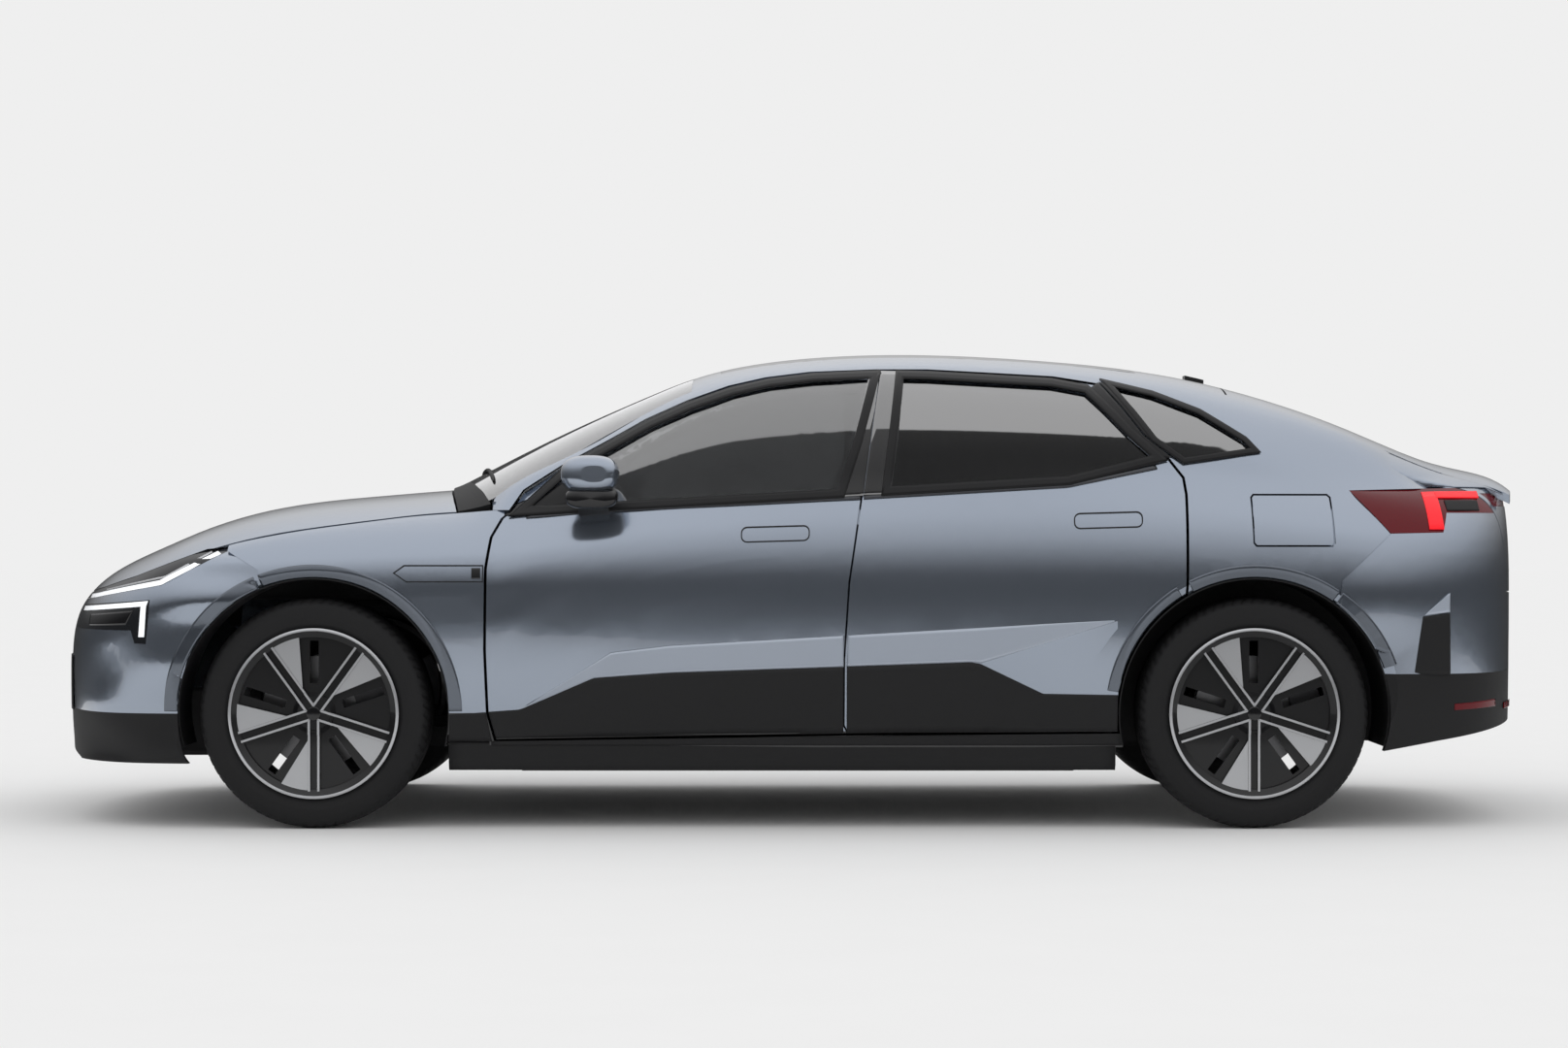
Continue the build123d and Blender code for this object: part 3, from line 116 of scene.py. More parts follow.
roof_line = natural_curve([
    (fx(370), ROOF_TOP - 456), (fx(706), ROOF_TOP - 286), (fx(1007), ROOF_TOP - 153),
    (fx(1207), ROOF_TOP - 77), (fx(1407), ROOF_TOP - 32), (fx(1607), ROOF_TOP - 10),
    (rx(-1142), ROOF_TOP), (rx(-792), ROOF_TOP - 10), (rx(-492), ROOF_TOP - 33),
    (rx(-192), ROOF_TOP - 75), (rx(108), ROOF_TOP - 150), (rx(408), ROOF_TOP - 258),
    (rx(708), ROOF_TOP - 373), (rx(831), ROOF_TOP - 405), (rx(921), ROOF_TOP - 456),
])
bonnet_line = natural_curve([
    (NOSE_X + 6, BONNET_TOP - 395), (NOSE_X + 106, BONNET_TOP - 307), (NOSE_X + 306, BONNET_TOP - 200),
    (fx(-394), BONNET_TOP - 117), (fx(-194), BONNET_TOP - 63), (fx(106), BONNET_TOP - 26),
    (fx(420), BONNET_TOP),
])
shoulder_line = natural_curve([
    (WING_END_X, BONNET_TOP - 8), (fx(604), BONNET_TOP + 20), (fx(977), BONNET_TOP + 124),
    (fx(1755), BONNET_TOP + 237), (rx(-590), BONNET_TOP + 257), (rx(21), BONNET_TOP + 181),
    (rx(521), BONNET_TOP + 90), (rx(851), BONNET_TOP + 84),
])
canopy_half = natural_curve([
    (fx(370), HALF - 146), (fx(1020), HALF - 95), (fx(1820), HALF - 75),
    (rx(-379), HALF - 88), (rx(221), HALF - 140), (rx(851), HALF - 260),
])


def smooth_max(a, b, radius):
    """Larger of two values, rounded by a parabola where they lie within the radius of each other."""
    h = np.maximum(radius - np.abs(a - b), 0) / radius
    return np.maximum(a, b) + h * h * radius / 4


def signed_power(a, power):
    """Power of the size of a value, with its sign kept."""
    return np.sign(a) * np.abs(a) ** power


def plan_half(x):
    """Half width at the widest height: full, rounded off by superellipses at nose and tail."""
    front = np.clip((NOSE_X + NOSE_ROUND - x) / NOSE_ROUND, 0, 1)
    rear = np.clip((x - (TAIL_X - TAIL_ROUND)) / TAIL_ROUND, 0, 1)
    return HALF * (1 - front ** 2.2) ** (1 / 2.6) * (1 - rear ** 2.6) ** (1 / 2.4)


def side_top(x):
    """Top of the lower body: the bonnet line ahead of the wing's end, the shoulder line behind it."""
    return np.where(x < WING_END_X, bonnet_line(x), shoulder_line(x))


def widest_z(x):
    """Widest height: level, or a fixed drop below the top where that is lower, blended."""
    return -smooth_max(-WIDEST_Z, -(side_top(x) - WIDEST_DROP), WIDEST_BLEND)


def lower_half(x, z):
    """Half width of the lower body: superellipse above the widest height, power tuck below it."""
    low = widest_z(x)
    up = np.clip((z - low) / (side_top(x) - low), 0, 1)
    down = np.clip((low - z) / (low - SILL_BOTTOM), 0, 1.3)
    return plan_half(x) * np.where(z >= low, (1 - up ** 2.3) ** (1 / 3), 1 - SIDE_TUCK * down ** 2.2)


def canopy_top(x, y):
    """Canopy height: roof line shifted back toward the sides, times a fourth-power crown."""
    fade = np.clip((SCREEN_TOP_X - x) / SCREEN_LENGTH, 0, 1)
    shift = SCREEN_SWEEP * fade * fade * (3 - 2 * fade) * (y / SWEEP_HALF) ** 2
    t = np.clip(np.abs(y) / canopy_half(x), 0, 1)
    return CANOPY_BASE + (roof_line(x - shift) - CANOPY_BASE) * np.sqrt(1 - t ** 4)


def canopy_side(x, z):
    """Half width of the canopy at a height, by bisection of canopy_top."""
    low = np.zeros(np.broadcast(x, z).shape)
    high = canopy_half(x) + low
    top = high.copy()
    for _ in range(CANOPY_HALVINGS):
        mid = (low + high) / 2
        above = canopy_top(x, mid) > z
        low = np.where(above, mid, low)
        high = np.where(above, high, mid)
    low = np.where(z <= CANOPY_BASE, top, low)
    return np.where((x < SCREEN_FOOT_X) | (z >= roof_line(x)), 0.0, low)


def body_side(x, z):
    """Half width of the whole body: smooth maximum of lower body and canopy."""
    return smooth_max(lower_half(x, z), canopy_side(x, z), CANOPY_BLEND)


def end_x(y, z, front):
    """Station of the nose or tail surface at a point of the end view, by bisection."""
    y = np.maximum(np.abs(y), MM)
    outer = np.full(np.broadcast(y, z).shape, NOSE_X if front else TAIL_X)
    inner = np.full(outer.shape, fx(-100) if front else rx(300))
    for _ in range(END_HALVINGS):
        mid = (outer + inner) / 2
        inside = lower_half(mid, z) <= y
        outer = np.where(inside, mid, outer)
        inner = np.where(inside, inner, mid)
    return inner


# Mesh helpers


def quad_object(name, points, faces, material, smooth):
    """Object at the origin from points in millimetres and an array of quads."""
    points = np.asarray(points, float).reshape(-1, 3) * MM
    faces = np.asarray(faces, int)
    mesh = bpy.data.meshes.new(name)
    mesh.vertices.add(len(points))
    mesh.vertices.foreach_set("co", points.ravel())
    mesh.loops.add(faces.size)
    mesh.loops.foreach_set("vertex_index", faces.ravel())
    mesh.polygons.add(len(faces))
    mesh.polygons.foreach_set("loop_start", np.arange(len(faces)) * faces.shape[1])
    mesh.polygons.foreach_set("use_smooth", np.full(len(faces), smooth))
    mesh.update(calc_edges=True)
    mesh.materials.append(material)
    obj = bpy.data.objects.new(name, mesh)
    bpy.context.scene.collection.objects.link(obj)
    return obj


def mesh_piece(name, points, faces, material, body, smooth=True):
    """Piece of the vehicle that rides on a body and takes the slot of its finish."""
    obj = quad_object(name, points, faces, material, smooth)
    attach(obj, body)
    return obj


def stage_piece(name, points, faces, material):
    """Piece of the studio."""
    obj = quad_object(name, points, faces, material, False)
    return obj


def grid_faces(rows, columns, close_rows=False, close_columns=False, flip=False):
    """Quads of a grid of points, counted row by row."""
    i = np.arange(rows if close_rows else rows - 1)
    j = np.arange(columns if close_columns else columns - 1)
    i, j = np.meshgrid(i, j, indexing="ij")
    k = (i + 1) % rows
    m = (j + 1) % columns
    quads = np.stack([i * columns + j, i * columns + m, k * columns + m, k * columns + j], -1)
    quads = quads.reshape(-1, 4)
    return quads[:, ::-1] if flip else quads


def line_lengths(points):
    """Length along a polyline at each of its points."""
    return np.r_[0, np.cumsum(np.linalg.norm(np.diff(points, axis=0), axis=1))]


def sample_line(points, count):
    """Points spaced evenly along a polyline."""
    points = np.asarray(points, float)
    step = line_lengths(points)
    at = np.linspace(0, step[-1], count)
    return np.stack([np.interp(at, step, points[:, k]) for k in range(points.shape[1])], -1)


# Finishes

PAINT_METALLIC = 0.90
PAINT_ROUGHNESS = 0.18
FOOT_ROUGHNESS = 0.55
FOOT_BLACK = (0.010, 0.010, 0.011, 1)
SPLIT_BLUR = 0.5


def finish(name, color, roughness, grain, vary, bump=0.0, metallic=0.0, coat=0.0, coat_ior=1.5,
           coat_roughness=0.04, specular=0.5, transmission=0.0, emission=0.0):
    """Principled finish whose colour, gloss and relief follow object-space noise."""
    mat = bpy.data.materials.new(name)
    mat.use_nodes = True
    tree = mat.node_tree
    shader = tree.nodes["Principled BSDF"]
    coords = tree.nodes.new("ShaderNodeTexCoord")
    noise = tree.nodes.new("ShaderNodeTexNoise")
    noise.inputs["Scale"].default_value = grain
    noise.inputs["Detail"].default_value = 3.0
    tree.links.new(coords.outputs["Object"], noise.inputs["Vector"])
    ramp = tree.nodes.new("ShaderNodeValToRGB")
    ramp.color_ramp.elements[0].position = 0.3
    ramp.color_ramp.elements[1].position = 0.7
    ramp.color_ramp.elements[0].color = (*[c * (1 - vary) for c in color], 1)
    ramp.color_ramp.elements[1].color = (*[min(c * (1 + vary), 1) for c in color], 1)
    tree.links.new(noise.outputs["Fac"], ramp.inputs["Fac"])
    tree.links.new(ramp.outputs["Color"], shader.inputs["Base Color"])
    spread = tree.nodes.new("ShaderNodeMapRange")
    spread.inputs["To Min"].default_value = max(roughness * 0.85, 0.0)
    spread.inputs["To Max"].default_value = min(roughness * 1.15, 1.0)
    tree.links.new(noise.outputs["Fac"], spread.inputs["Value"])
    tree.links.new(spread.outputs["Result"], shader.inputs["Roughness"])
    if bump:
        relief = tree.nodes.new("ShaderNodeBump")
        relief.inputs["Strength"].default_value = bump
        relief.inputs["Distance"].default_value = MM
        tree.links.new(noise.outputs["Fac"], relief.inputs["Height"])
        tree.links.new(relief.outputs["Normal"], shader.inputs["Normal"])
    shader.inputs["Metallic"].default_value = metallic
    shader.inputs["Coat Weight"].default_value = coat
    shader.inputs["Coat Roughness"].default_value = coat_roughness
    shader.inputs["Coat IOR"].default_value = coat_ior
    shader.inputs["Transmission Weight"].default_value = transmission
    shader.inputs["Specular IOR Level"].default_value = specular
    if emission:
        shader.inputs["Emission Color"].default_value = (*color, 1)
        shader.inputs["Emission Strength"].default_value = emission
    return mat


paint = finish("metallic_paint", (0.330, 0.376, 0.450), PAINT_ROUGHNESS, 2600.0, 0.05,
               metallic=PAINT_METALLIC, coat=1.0)
# Darker paint for the bands round the wheel arches: painted shade standing in for the shade on the arch
# flares.
painted_arch_shade = finish("painted_arch_shade", (0.130, 0.149, 0.180), 0.26, 2600.0, 0.05, metallic=0.85, coat=0.8)
# Lighter paint for the door and corner facets: painted highlight standing in for the light on upward-facing
# facets.
painted_facet_highlight = finish("painted_facet_highlight", (0.400, 0.445, 0.520), 0.34, 2600.0, 0.05, metallic=0.35, coat=0.6)
glass = finish("tinted_glass", (0.16, 0.165, 0.17), 0.0, 40.0, 0.02, coat=1.0, coat_ior=2.5,
               coat_roughness=0.0, transmission=1.0)
privacy = finish("privacy_glass", (0.022, 0.023, 0.025), 0.0, 40.0, 0.02, coat=1.0, coat_ior=3.4,
                 coat_roughness=0.0, transmission=1.0)
dark_glass = finish("roof_tint", (0.012, 0.012, 0.014), 0.05, 40.0, 0.05, coat=0.6)
plastic = finish("grained_plastic", (0.011, 0.011, 0.012), 0.58, 900.0, 0.2, bump=0.25, specular=0.3)
gloss = finish("piano_black", (0.006, 0.006, 0.007), 0.16, 300.0, 0.1, coat=0.2)
frame_black = finish("frame_black", (0.007, 0.007, 0.008), 0.42, 700.0, 0.1, bump=0.05, specular=0.3)
pillar_gloss = finish("pillar_gloss", (0.006, 0.006, 0.007), 0.2, 300.0, 0.1, coat=1.0, coat_ior=2.8,
                      coat_roughness=0.0)
trim_grey = finish("waist_trim", (0.075, 0.078, 0.085), 0.30, 900.0, 0.08, bump=0.02, metallic=0.9, coat=0.2)
silver = finish("turned_alloy", (0.60, 0.61, 0.63), 0.30, 700.0, 0.06, bump=0.03, metallic=0.75, coat=0.2)
rim_black = finish("wheel_black", (0.006, 0.006, 0.007), 0.32, 500.0, 0.1, bump=0.02, coat=0.3, specular=0.4)
rubber = finish("tyre_rubber", (0.011, 0.011, 0.012), 0.72, 700.0, 0.25, bump=0.3, specular=0.3)
steel = finish("bare_steel", (0.30, 0.30, 0.31), 0.38, 300.0, 0.1, bump=0.05, metallic=1.0)
cast = finish("cast_iron", (0.10, 0.10, 0.105), 0.5, 500.0, 0.25, bump=0.2, metallic=0.9)
coated = finish("underbody_coat", (0.014, 0.014, 0.015), 0.7, 120.0, 0.3, bump=0.4, specular=0.3)
alloy_case = finish("cast_alloy", (0.20, 0.21, 0.22), 0.45, 260.0, 0.15, bump=0.15, metallic=0.9)
leather = finish("seat_leather", (0.055, 0.056, 0.060), 0.48, 900.0, 0.2, bump=0.35, coat=0.1)
soft_dash = finish("dash_moulding", (0.030, 0.031, 0.034), 0.6, 1100.0, 0.2, bump=0.3)
lens_red = finish("red_lens", (0.110, 0.004, 0.008), 0.12, 500.0, 0.15, bump=0.05, specular=0.25)
red_glow = finish("red_guide", (0.80, 0.012, 0.020), 0.3, 500.0, 0.06, specular=0.2, emission=0.45)
lens_dark = finish("smoked_lens", (0.012, 0.013, 0.015), 0.10, 400.0, 0.1, bump=0.02, coat=0.15,
                   specular=0.35)
led = finish("light_guide", (0.90, 0.92, 0.95), 0.2, 500.0, 0.03, coat=0.4, emission=0.45)


def two_tone(name, line):
    """Paint above a level line and grained black below it, split on object height."""
    mat = paint.copy()
    mat.name = name
    tree = mat.node_tree
    shader = tree.nodes["Principled BSDF"]
    split = tree.nodes.new("ShaderNodeSeparateXYZ")
    level = tree.nodes.new("ShaderNodeMapRange")
    level.inputs["From Min"].default_value = (line - SPLIT_BLUR) * MM
    level.inputs["From Max"].default_value = (line + SPLIT_BLUR) * MM
    tree.links.new(tree.nodes["Texture Coordinate"].outputs["Object"], split.inputs["Vector"])
    tree.links.new(split.outputs["Z"], level.inputs["Value"])
    blend = tree.nodes.new("ShaderNodeMix")
    blend.data_type = "RGBA"
    blend.inputs["A"].default_value = FOOT_BLACK
    tree.links.new(level.outputs["Result"], blend.inputs["Factor"])
    tree.links.new(tree.nodes["Color Ramp"].outputs["Color"], blend.inputs["B"])
    tree.links.new(blend.outputs["Result"], shader.inputs["Base Color"])
    for socket, below, above in (("Metallic", 0.0, PAINT_METALLIC),
                                 ("Roughness", FOOT_ROUGHNESS, PAINT_ROUGHNESS)):
        change = tree.nodes.new("ShaderNodeMapRange")
        change.inputs["To Min"].default_value = below
        change.inputs["To Max"].default_value = above
        tree.links.new(level.outputs["Result"], change.inputs["Value"])
        tree.links.new(change.outputs["Result"], shader.inputs[socket])
    return mat


mirror_finish = two_tone("mirror_finish", 1080)
side_finish = two_tone("sill_finish", 306)
wing_finish = two_tone("wing_finish", 370)
door_finish = two_tone("door_finish", 312)

LOOKS = {
    "windscreen": glass, "door_glass_front": glass, "door_glass_rear": privacy, "quarter_windows": privacy,
    "roof_glass": dark_glass, "door_front": door_finish, "door_rear": door_finish, "body_side": side_finish,
    "front_wings": wing_finish, "mirror": mirror_finish, "cowl_panel": plastic, "front_lower_trim": plastic,
    "rear_lower_trim": plastic, "wheel_arch_liners": plastic, "frunk_cover": plastic,
    "roof_camera_pod": gloss, "headlamps": lens_dark, "tail_lamps": lens_red, "tail_light_bar": lens_red,
    "floor_pan": coated, "battery_pack": coated, "front_subframe": coated, "rear_subframe": coated,
    "drive_units": alloy_case, "rear_knuckles": cast, "knuckle_front": cast, "hinges": steel,
    "dashboard": soft_dash, "steering_wheel": leather, "front_seats": leather, "rear_bench": leather,
    "tyre": rubber, "rim": rim_black, "brake_disc": steel,
}
for node_name, node in nodes.items():
    named = [look for start, look in LOOKS.items() if node_name.startswith(start)]
    node.data.materials.clear()
    node.data.materials.append(named[0] if named else paint)

# Outline helpers

SURROUND_ROWS = 4
SHEET_WALL = 3.0


def signed_area(points):
    """Twice the area of a polygon, positive where it runs from +X toward +Z."""
    x = points[:, 0]
    z = points[:, 1]
    return np.sum(x * np.roll(z, -1) - np.roll(x, -1) * z)


def grown(points, distance):
    """Polygon with every corner moved outward along its two edge normals."""
    p = np.asarray(points, float)
    along = np.roll(p, -1, 0) - p
    normal = np.stack([along[:, 1], -along[:, 0]], -1) * np.sign(signed_area(p))
    normal /= np.linalg.norm(normal, axis=1, keepdims=True)
    before = np.roll(normal, 1, 0)
    return p + (normal + before) / (1 + np.sum(normal * before, 1, keepdims=True)) * distance


def loop_points(points, per_edge):
    """Closed polygon sampled with the same count on every edge."""
    p = np.asarray(points, float)
    t = (np.arange(per_edge) / per_edge)[None, :, None]
    q = np.roll(p, -1, 0)
    return (p[:, None] * (1 - t) + q[:, None] * t).reshape(-1, 2)


def both_sides(name, grid, faces, material, body, wall=0.0):
    """Left piece and its mirror image, with an optional wall thickness."""
    for side, sign in (("left", 1), ("right", -1)):
        turned = faces if sign > 0 else faces[:, ::-1]
        piece = mesh_piece(f"{name}_{side}", grid * (1, sign, 1), turned, material, body.format(side))
        if wall:
            shell = piece.modifiers.new("wall", "SOLIDIFY")
            shell.thickness = wall * MM
            shell.offset = -1


def surround(name, polygon, width, lift, material, body, per_edge=14):
    """Flat band laid on the body side, blended from a side-view polygon to its grown copy."""
    inner = loop_points(polygon, per_edge)
    outer = loop_points(grown(polygon, width), per_edge)
    v = np.linspace(0, 1, SURROUND_ROWS)[:, None, None]
    flat = inner[None] * (1 - v) + outer[None] * v
    x = flat[..., 0]
    z = flat[..., 1]
    grid = np.stack([x, -(body_side(x, z) + lift), z], -1)
    faces = grid_faces(SURROUND_ROWS, len(inner), close_columns=True, flip=signed_area(inner) < 0)
    both_sides(name, grid, faces, material, body, wall=lift + 1.0)


def patch(name, low, high, material, body, lift, skin=body_side, count=60, rows=8, wall=SHEET_WALL):
    """Strip laid on the skin, blended from one side-view line to another."""
    a = sample_line(low, count)
    b = sample_line(high, count)
    v = np.linspace(0, 1, rows)[:, None]
    x = a[:, 0] * (1 - v) + b[:, 0] * v
    z = a[:, 1] * (1 - v) + b[:, 1] * v
    grid = np.stack([x, -(skin(x, z) + lift), z], -1)
    both_sides(name, grid, grid_faces(rows, count), material, body, wall=wall)


def mesh_skin(node_name):
    """Half width of one panel: where a line from the left across the vehicle first meets its mesh."""
    mesh = nodes[node_name].data
    tree = BVHTree.FromPolygons([v.co for v in mesh.vertices], [p.vertices for p in mesh.polygons])
    start_y = -2.0
    reach = 1.4
    across = Vector((0, 1, 0))

    def value(x, z):
        """Body side plus the panel's rise over it, the median rise where no line meets the panel."""
        plain = body_side(x, z)
        rise = np.full(plain.shape, np.nan)
        for place in np.ndindex(plain.shape):
            hit = tree.ray_cast(Vector((x[place] * MM, start_y, z[place] * MM)), across, reach)[0]
            if hit is not None:
                rise[place] = -hit[1] / MM - plain[place]
        return plain + np.where(np.isnan(rise), np.nanmedian(rise), rise)

    return value


def round_box(x0, x1, z0, z1, radius, tilt):
    """Rounded rectangle in the side view, sheared about its middle by a tilt in degrees."""
    turn = np.linspace(0, math.pi / 2, 5)
    corners = []
    for k, (cx, cz) in enumerate(((x1 - radius, z1 - radius), (x0 + radius, z1 - radius),
                                  (x0 + radius, z0 + radius), (x1 - radius, z0 + radius))):
        angle = turn + k * math.pi / 2
        corners.append(np.stack([cx + radius * np.cos(angle), cz + radius * np.sin(angle)], -1))
    points = np.concatenate(corners)
    points[:, 1] += (points[:, 0] - (x0 + x1) / 2) * math.tan(math.radians(tilt))
    return points


# Door sides: station, top, crest and foot of the crease, then the rise of crest and foot over the body side

CREASE_X, CREASE_TOP, CREASE_CREST, CREASE_FOOT, CREST_RISE, FOOT_RISE = np.array([
    (fx(670), 390, 384, 300, 1, 1),
    (fx(895), 529, 484, 300, 12, 4),
    (fx(950), 564, 488, 300, 15, 4),
    (fx(1136), 586, 501, 300, 18, 4),
    (rx(-906), 641, 534, 305, 18, 4),
    (rx(-875), 643, 530, 305, 18, 4),
    (rx(-675), 655, 592, 432, 10, 1),
    (rx(-439), 668, 664, 428, 1, 1),
], float).T
TOP_RISE = 0.5


def door_skin(x, z):
    """Body side with the raised door crease: straight from its top to its crest to its foot."""
    top = np.interp(x, CREASE_X, CREASE_TOP)
    crest = np.interp(x, CREASE_X, CREASE_CREST)
    foot = np.interp(x, CREASE_X, CREASE_FOOT)
    top_y = np.interp(x, CREASE_X, body_side(CREASE_X, CREASE_TOP) + TOP_RISE)
    crest_y = np.interp(x, CREASE_X, body_side(CREASE_X, CREASE_CREST) + CREST_RISE)
    foot_y = np.interp(x, CREASE_X, body_side(CREASE_X, CREASE_FOOT) + FOOT_RISE)
    upper = crest_y + (top_y - crest_y) * (z - crest) / (top - crest)
    lower = foot_y + (crest_y - foot_y) * (z - foot) / (crest - foot)
    raised = np.where(z > crest, upper, lower)
    inside = (z <= top) & (z >= foot) & (x >= CREASE_X[0]) & (x <= CREASE_X[-1])
    plain = body_side(x, z)
    return np.where(inside, np.maximum(raised, plain), plain)


WAIST_X = np.array([fx(618), fx(977), fx(1755), rx(-590), rx(-262)])
WAIST_Z = np.array([1022.0, 1048.0, 1086.0, 1124.0, 1190.0])


def waist_point(x, drop=0.0):
    """Side-view point on the waist line, or a drop below it."""
    return (x, float(np.interp(x, WAIST_X, WAIST_Z)) - drop)


# Windows

WINDOW_TOP = ROOF_TOP - 102
PILLAR_TOP = ROOF_TOP - 76
PILLAR_EDGE_TOP = ROOF_TOP - 74
PILLAR_MID = 1240.0
PILLAR_GAP = 1.2
PILLAR_DROP = 24.0
FRAME_LIFT = 3.5
FRAME_WIDTH = 28.0
QUARTER_FRAME_WIDTH = 18.0
POST_LIFT = 4.5
PILLAR_LIFT = 4.0
WAIST_LIFT = 5.0
DOOR_TOP = [
    (fx(790), 1164), (fx(920), 1236), (fx(1051), 1311), (fx(1183), 1371), (fx(1319), 1420), (fx(1440), 1448),
    (fx(1583), ROOF_TOP - 80),
]
FRONT_WINDOW = [
    waist_point(fx(690)), *[(x + 14, z - 30) for x, z in DOOR_TOP],
    (fx(1780), WINDOW_TOP), (fx(1724), PILLAR_MID), waist_point(fx(1672)),
]
REAR_WINDOW = [
    waist_point(fx(1842)), (fx(1890), WINDOW_TOP), (rx(-1030), ROOF_TOP - 104), (rx(-628), ROOF_TOP - 127),
    (rx(-520), ROOF_TOP - 148), (rx(-462), ROOF_TOP - 210), (rx(-392), 1256), (rx(-322), 1190),
    waist_point(rx(-590)),
]
QUARTER_WINDOW = [
    (rx(-420), ROOF_TOP - 128), (rx(-300), ROOF_TOP - 158), (rx(-153), ROOF_TOP - 218), (rx(-14), 1238),
    (rx(6), 1215), (rx(-210), 1184), (rx(-300), 1250), (rx(-362), ROOF_TOP - 208),
]
surround("window_frame_front", FRONT_WINDOW, FRAME_WIDTH, FRAME_LIFT, frame_black, "door_front_{}")
surround("window_frame_rear", REAR_WINDOW, FRAME_WIDTH, FRAME_LIFT, frame_black, "door_rear_{}")
surround("window_frame_quarter", QUARTER_WINDOW, QUARTER_FRAME_WIDTH, FRAME_LIFT, frame_black, "body")
patch("door_rear_post",
      [(rx(-472), ROOF_TOP - 112), (rx(-410), ROOF_TOP - 194), (rx(-341), 1256), (rx(-252), 1184)],
      [(rx(-520), ROOF_TOP - 146), (rx(-462), ROOF_TOP - 210), (rx(-392), 1256), (rx(-322), 1188)],
      frame_black, "door_rear_{}", lift=POST_LIFT, count=40)
patch("quarter_post",
      [(rx(-422), ROOF_TOP - 127), (rx(-360), ROOF_TOP - 208), (rx(-298), 1250), (rx(-210), 1180)],
      [(rx(-468), ROOF_TOP - 110), (rx(-406), ROOF_TOP - 190), (rx(-337), 1260), (rx(-249), 1189)],
      frame_black, "body", lift=POST_LIFT, count=40)
patch("pillar_cover_front",
      [waist_point(fx(1672), PILLAR_DROP), (fx(1724), PILLAR_MID), (fx(1780), PILLAR_TOP)],
      [(fx(1753), 1062), (fx(1778), PILLAR_MID), (fx(1812), PILLAR_EDGE_TOP)],
      pillar_gloss, "door_front_{}", lift=PILLAR_LIFT, count=30)
patch("pillar_cover_rear",
      [(fx(1753) + PILLAR_GAP, 1064), (fx(1778) + PILLAR_GAP, PILLAR_MID),
       (fx(1812) + PILLAR_GAP, PILLAR_EDGE_TOP)],
      [waist_point(fx(1842), PILLAR_DROP), (fx(1866), PILLAR_MID), (fx(1890), PILLAR_TOP)],
      pillar_gloss, "door_rear_{}", lift=PILLAR_LIFT, count=30)
patch("waist_strip_front",
      [waist_point(fx(672), 34), (fx(977), 1014), (fx(1744), 1052)],
      [waist_point(fx(672), 22), (fx(977), 1026), (fx(1745), 1064)],
      trim_grey, "door_front_{}", lift=WAIST_LIFT, rows=4)
patch("waist_strip_rear",
      [(fx(1754), 1053), (rx(-590), 1090), (rx(-300), 1150)],
      [(fx(1755), 1065), (rx(-590), 1102), (rx(-306), 1162)],
      trim_grey, "door_rear_{}", lift=WAIST_LIFT, rows=4)
patch("mirror_sail", [(fx(684), 1022), (fx(852), 1034)], [(fx(690), 1030), (fx(846), 1160)],
      frame_black, "door_front_{}", lift=POST_LIFT, count=24)
patch("mirror_foot", [(fx(600), 1000), (fx(672), 1000)], [(fx(640), 1040), (fx(684), 1056)],
      gloss, "door_front_{}", lift=1.4, count=16)

# Cladding, and blades: sheets in lighter paint on the door facets, painted highlight

CLADDING_LIFT = 3.2
BLADE_LIFT = 0.9
BLADE_WALL = 1.0
BLADE_NOSE_X = fx(663)
BLADE_TAIL_X = rx(-449)
CLADDING_TOP = [(fx(558), 373), (fx(657), 380), (fx(895), 482), (fx(1136), 499), (fx(1689), 518)]
patch("cladding_front",
      [(fx(581), 288.5), (fx(1197), 297.5), (fx(1689), 304)],
      CLADDING_TOP,
      plastic, "door_front_{}", lift=CLADDING_LIFT, skin=door_skin, count=110, rows=10)
patch("cladding_rear",
      [(fx(1699), 305), (rx(-1069), 308), (rx(-437), 312)],
      [(fx(1699), 519), (rx(-906), 532), (rx(-875), 527), (rx(-675), 431), (rx(-437), 427)],
      plastic, "door_rear_{}", lift=CLADDING_LIFT, skin=door_skin, count=110, rows=10)
# The blades' lighter paint is a painted highlight on the crease facet.
patch("door_blade_front",
      [(BLADE_NOSE_X, 381), *CLADDING_TOP[2:]],
      [(BLADE_NOSE_X, 383), (fx(950), 563), (fx(1136), 585), (fx(1688), 617)],
      painted_facet_highlight, "door_front_{}", lift=BLADE_LIFT, skin=door_skin, count=110, rows=12, wall=BLADE_WALL)
patch("door_blade_rear",
      [(fx(1701), 519), (rx(-906), 533), (rx(-875), 531), (rx(-675), 592), (BLADE_TAIL_X, 662)],
      [(fx(1704), 618), (rx(-875), 642), (rx(-675), 654), (BLADE_TAIL_X, 666)],
      painted_facet_highlight, "door_rear_{}", lift=BLADE_LIFT, skin=door_skin, count=110, rows=12, wall=BLADE_WALL)
patch("cladding_wing", [(fx(430), 280), (fx(568), 278)], [(fx(434), 364), (fx(549), 372)],
      plastic, "body", lift=2.0, count=20)

# Seams of the door handles

SEAM_LIFT = 0.7
HANDLE_SEAM = 3.6
HANDLE_CORNER = 16.0
HANDLE_TILT = 1.6
for place, x0, x1, z0, z1, body in (("front", fx(1366), fx(1578), 919, 962, "door_front_{}"),
                                   ("rear", rx(-572), rx(-359), 962, 1006, "door_rear_{}")):
    surround(f"handle_seam_{place}", round_box(x0, x1, z0, z1, HANDLE_CORNER, HANDLE_TILT), HANDLE_SEAM,
             SEAM_LIFT, plastic, body, per_edge=4)

# Mirror housing


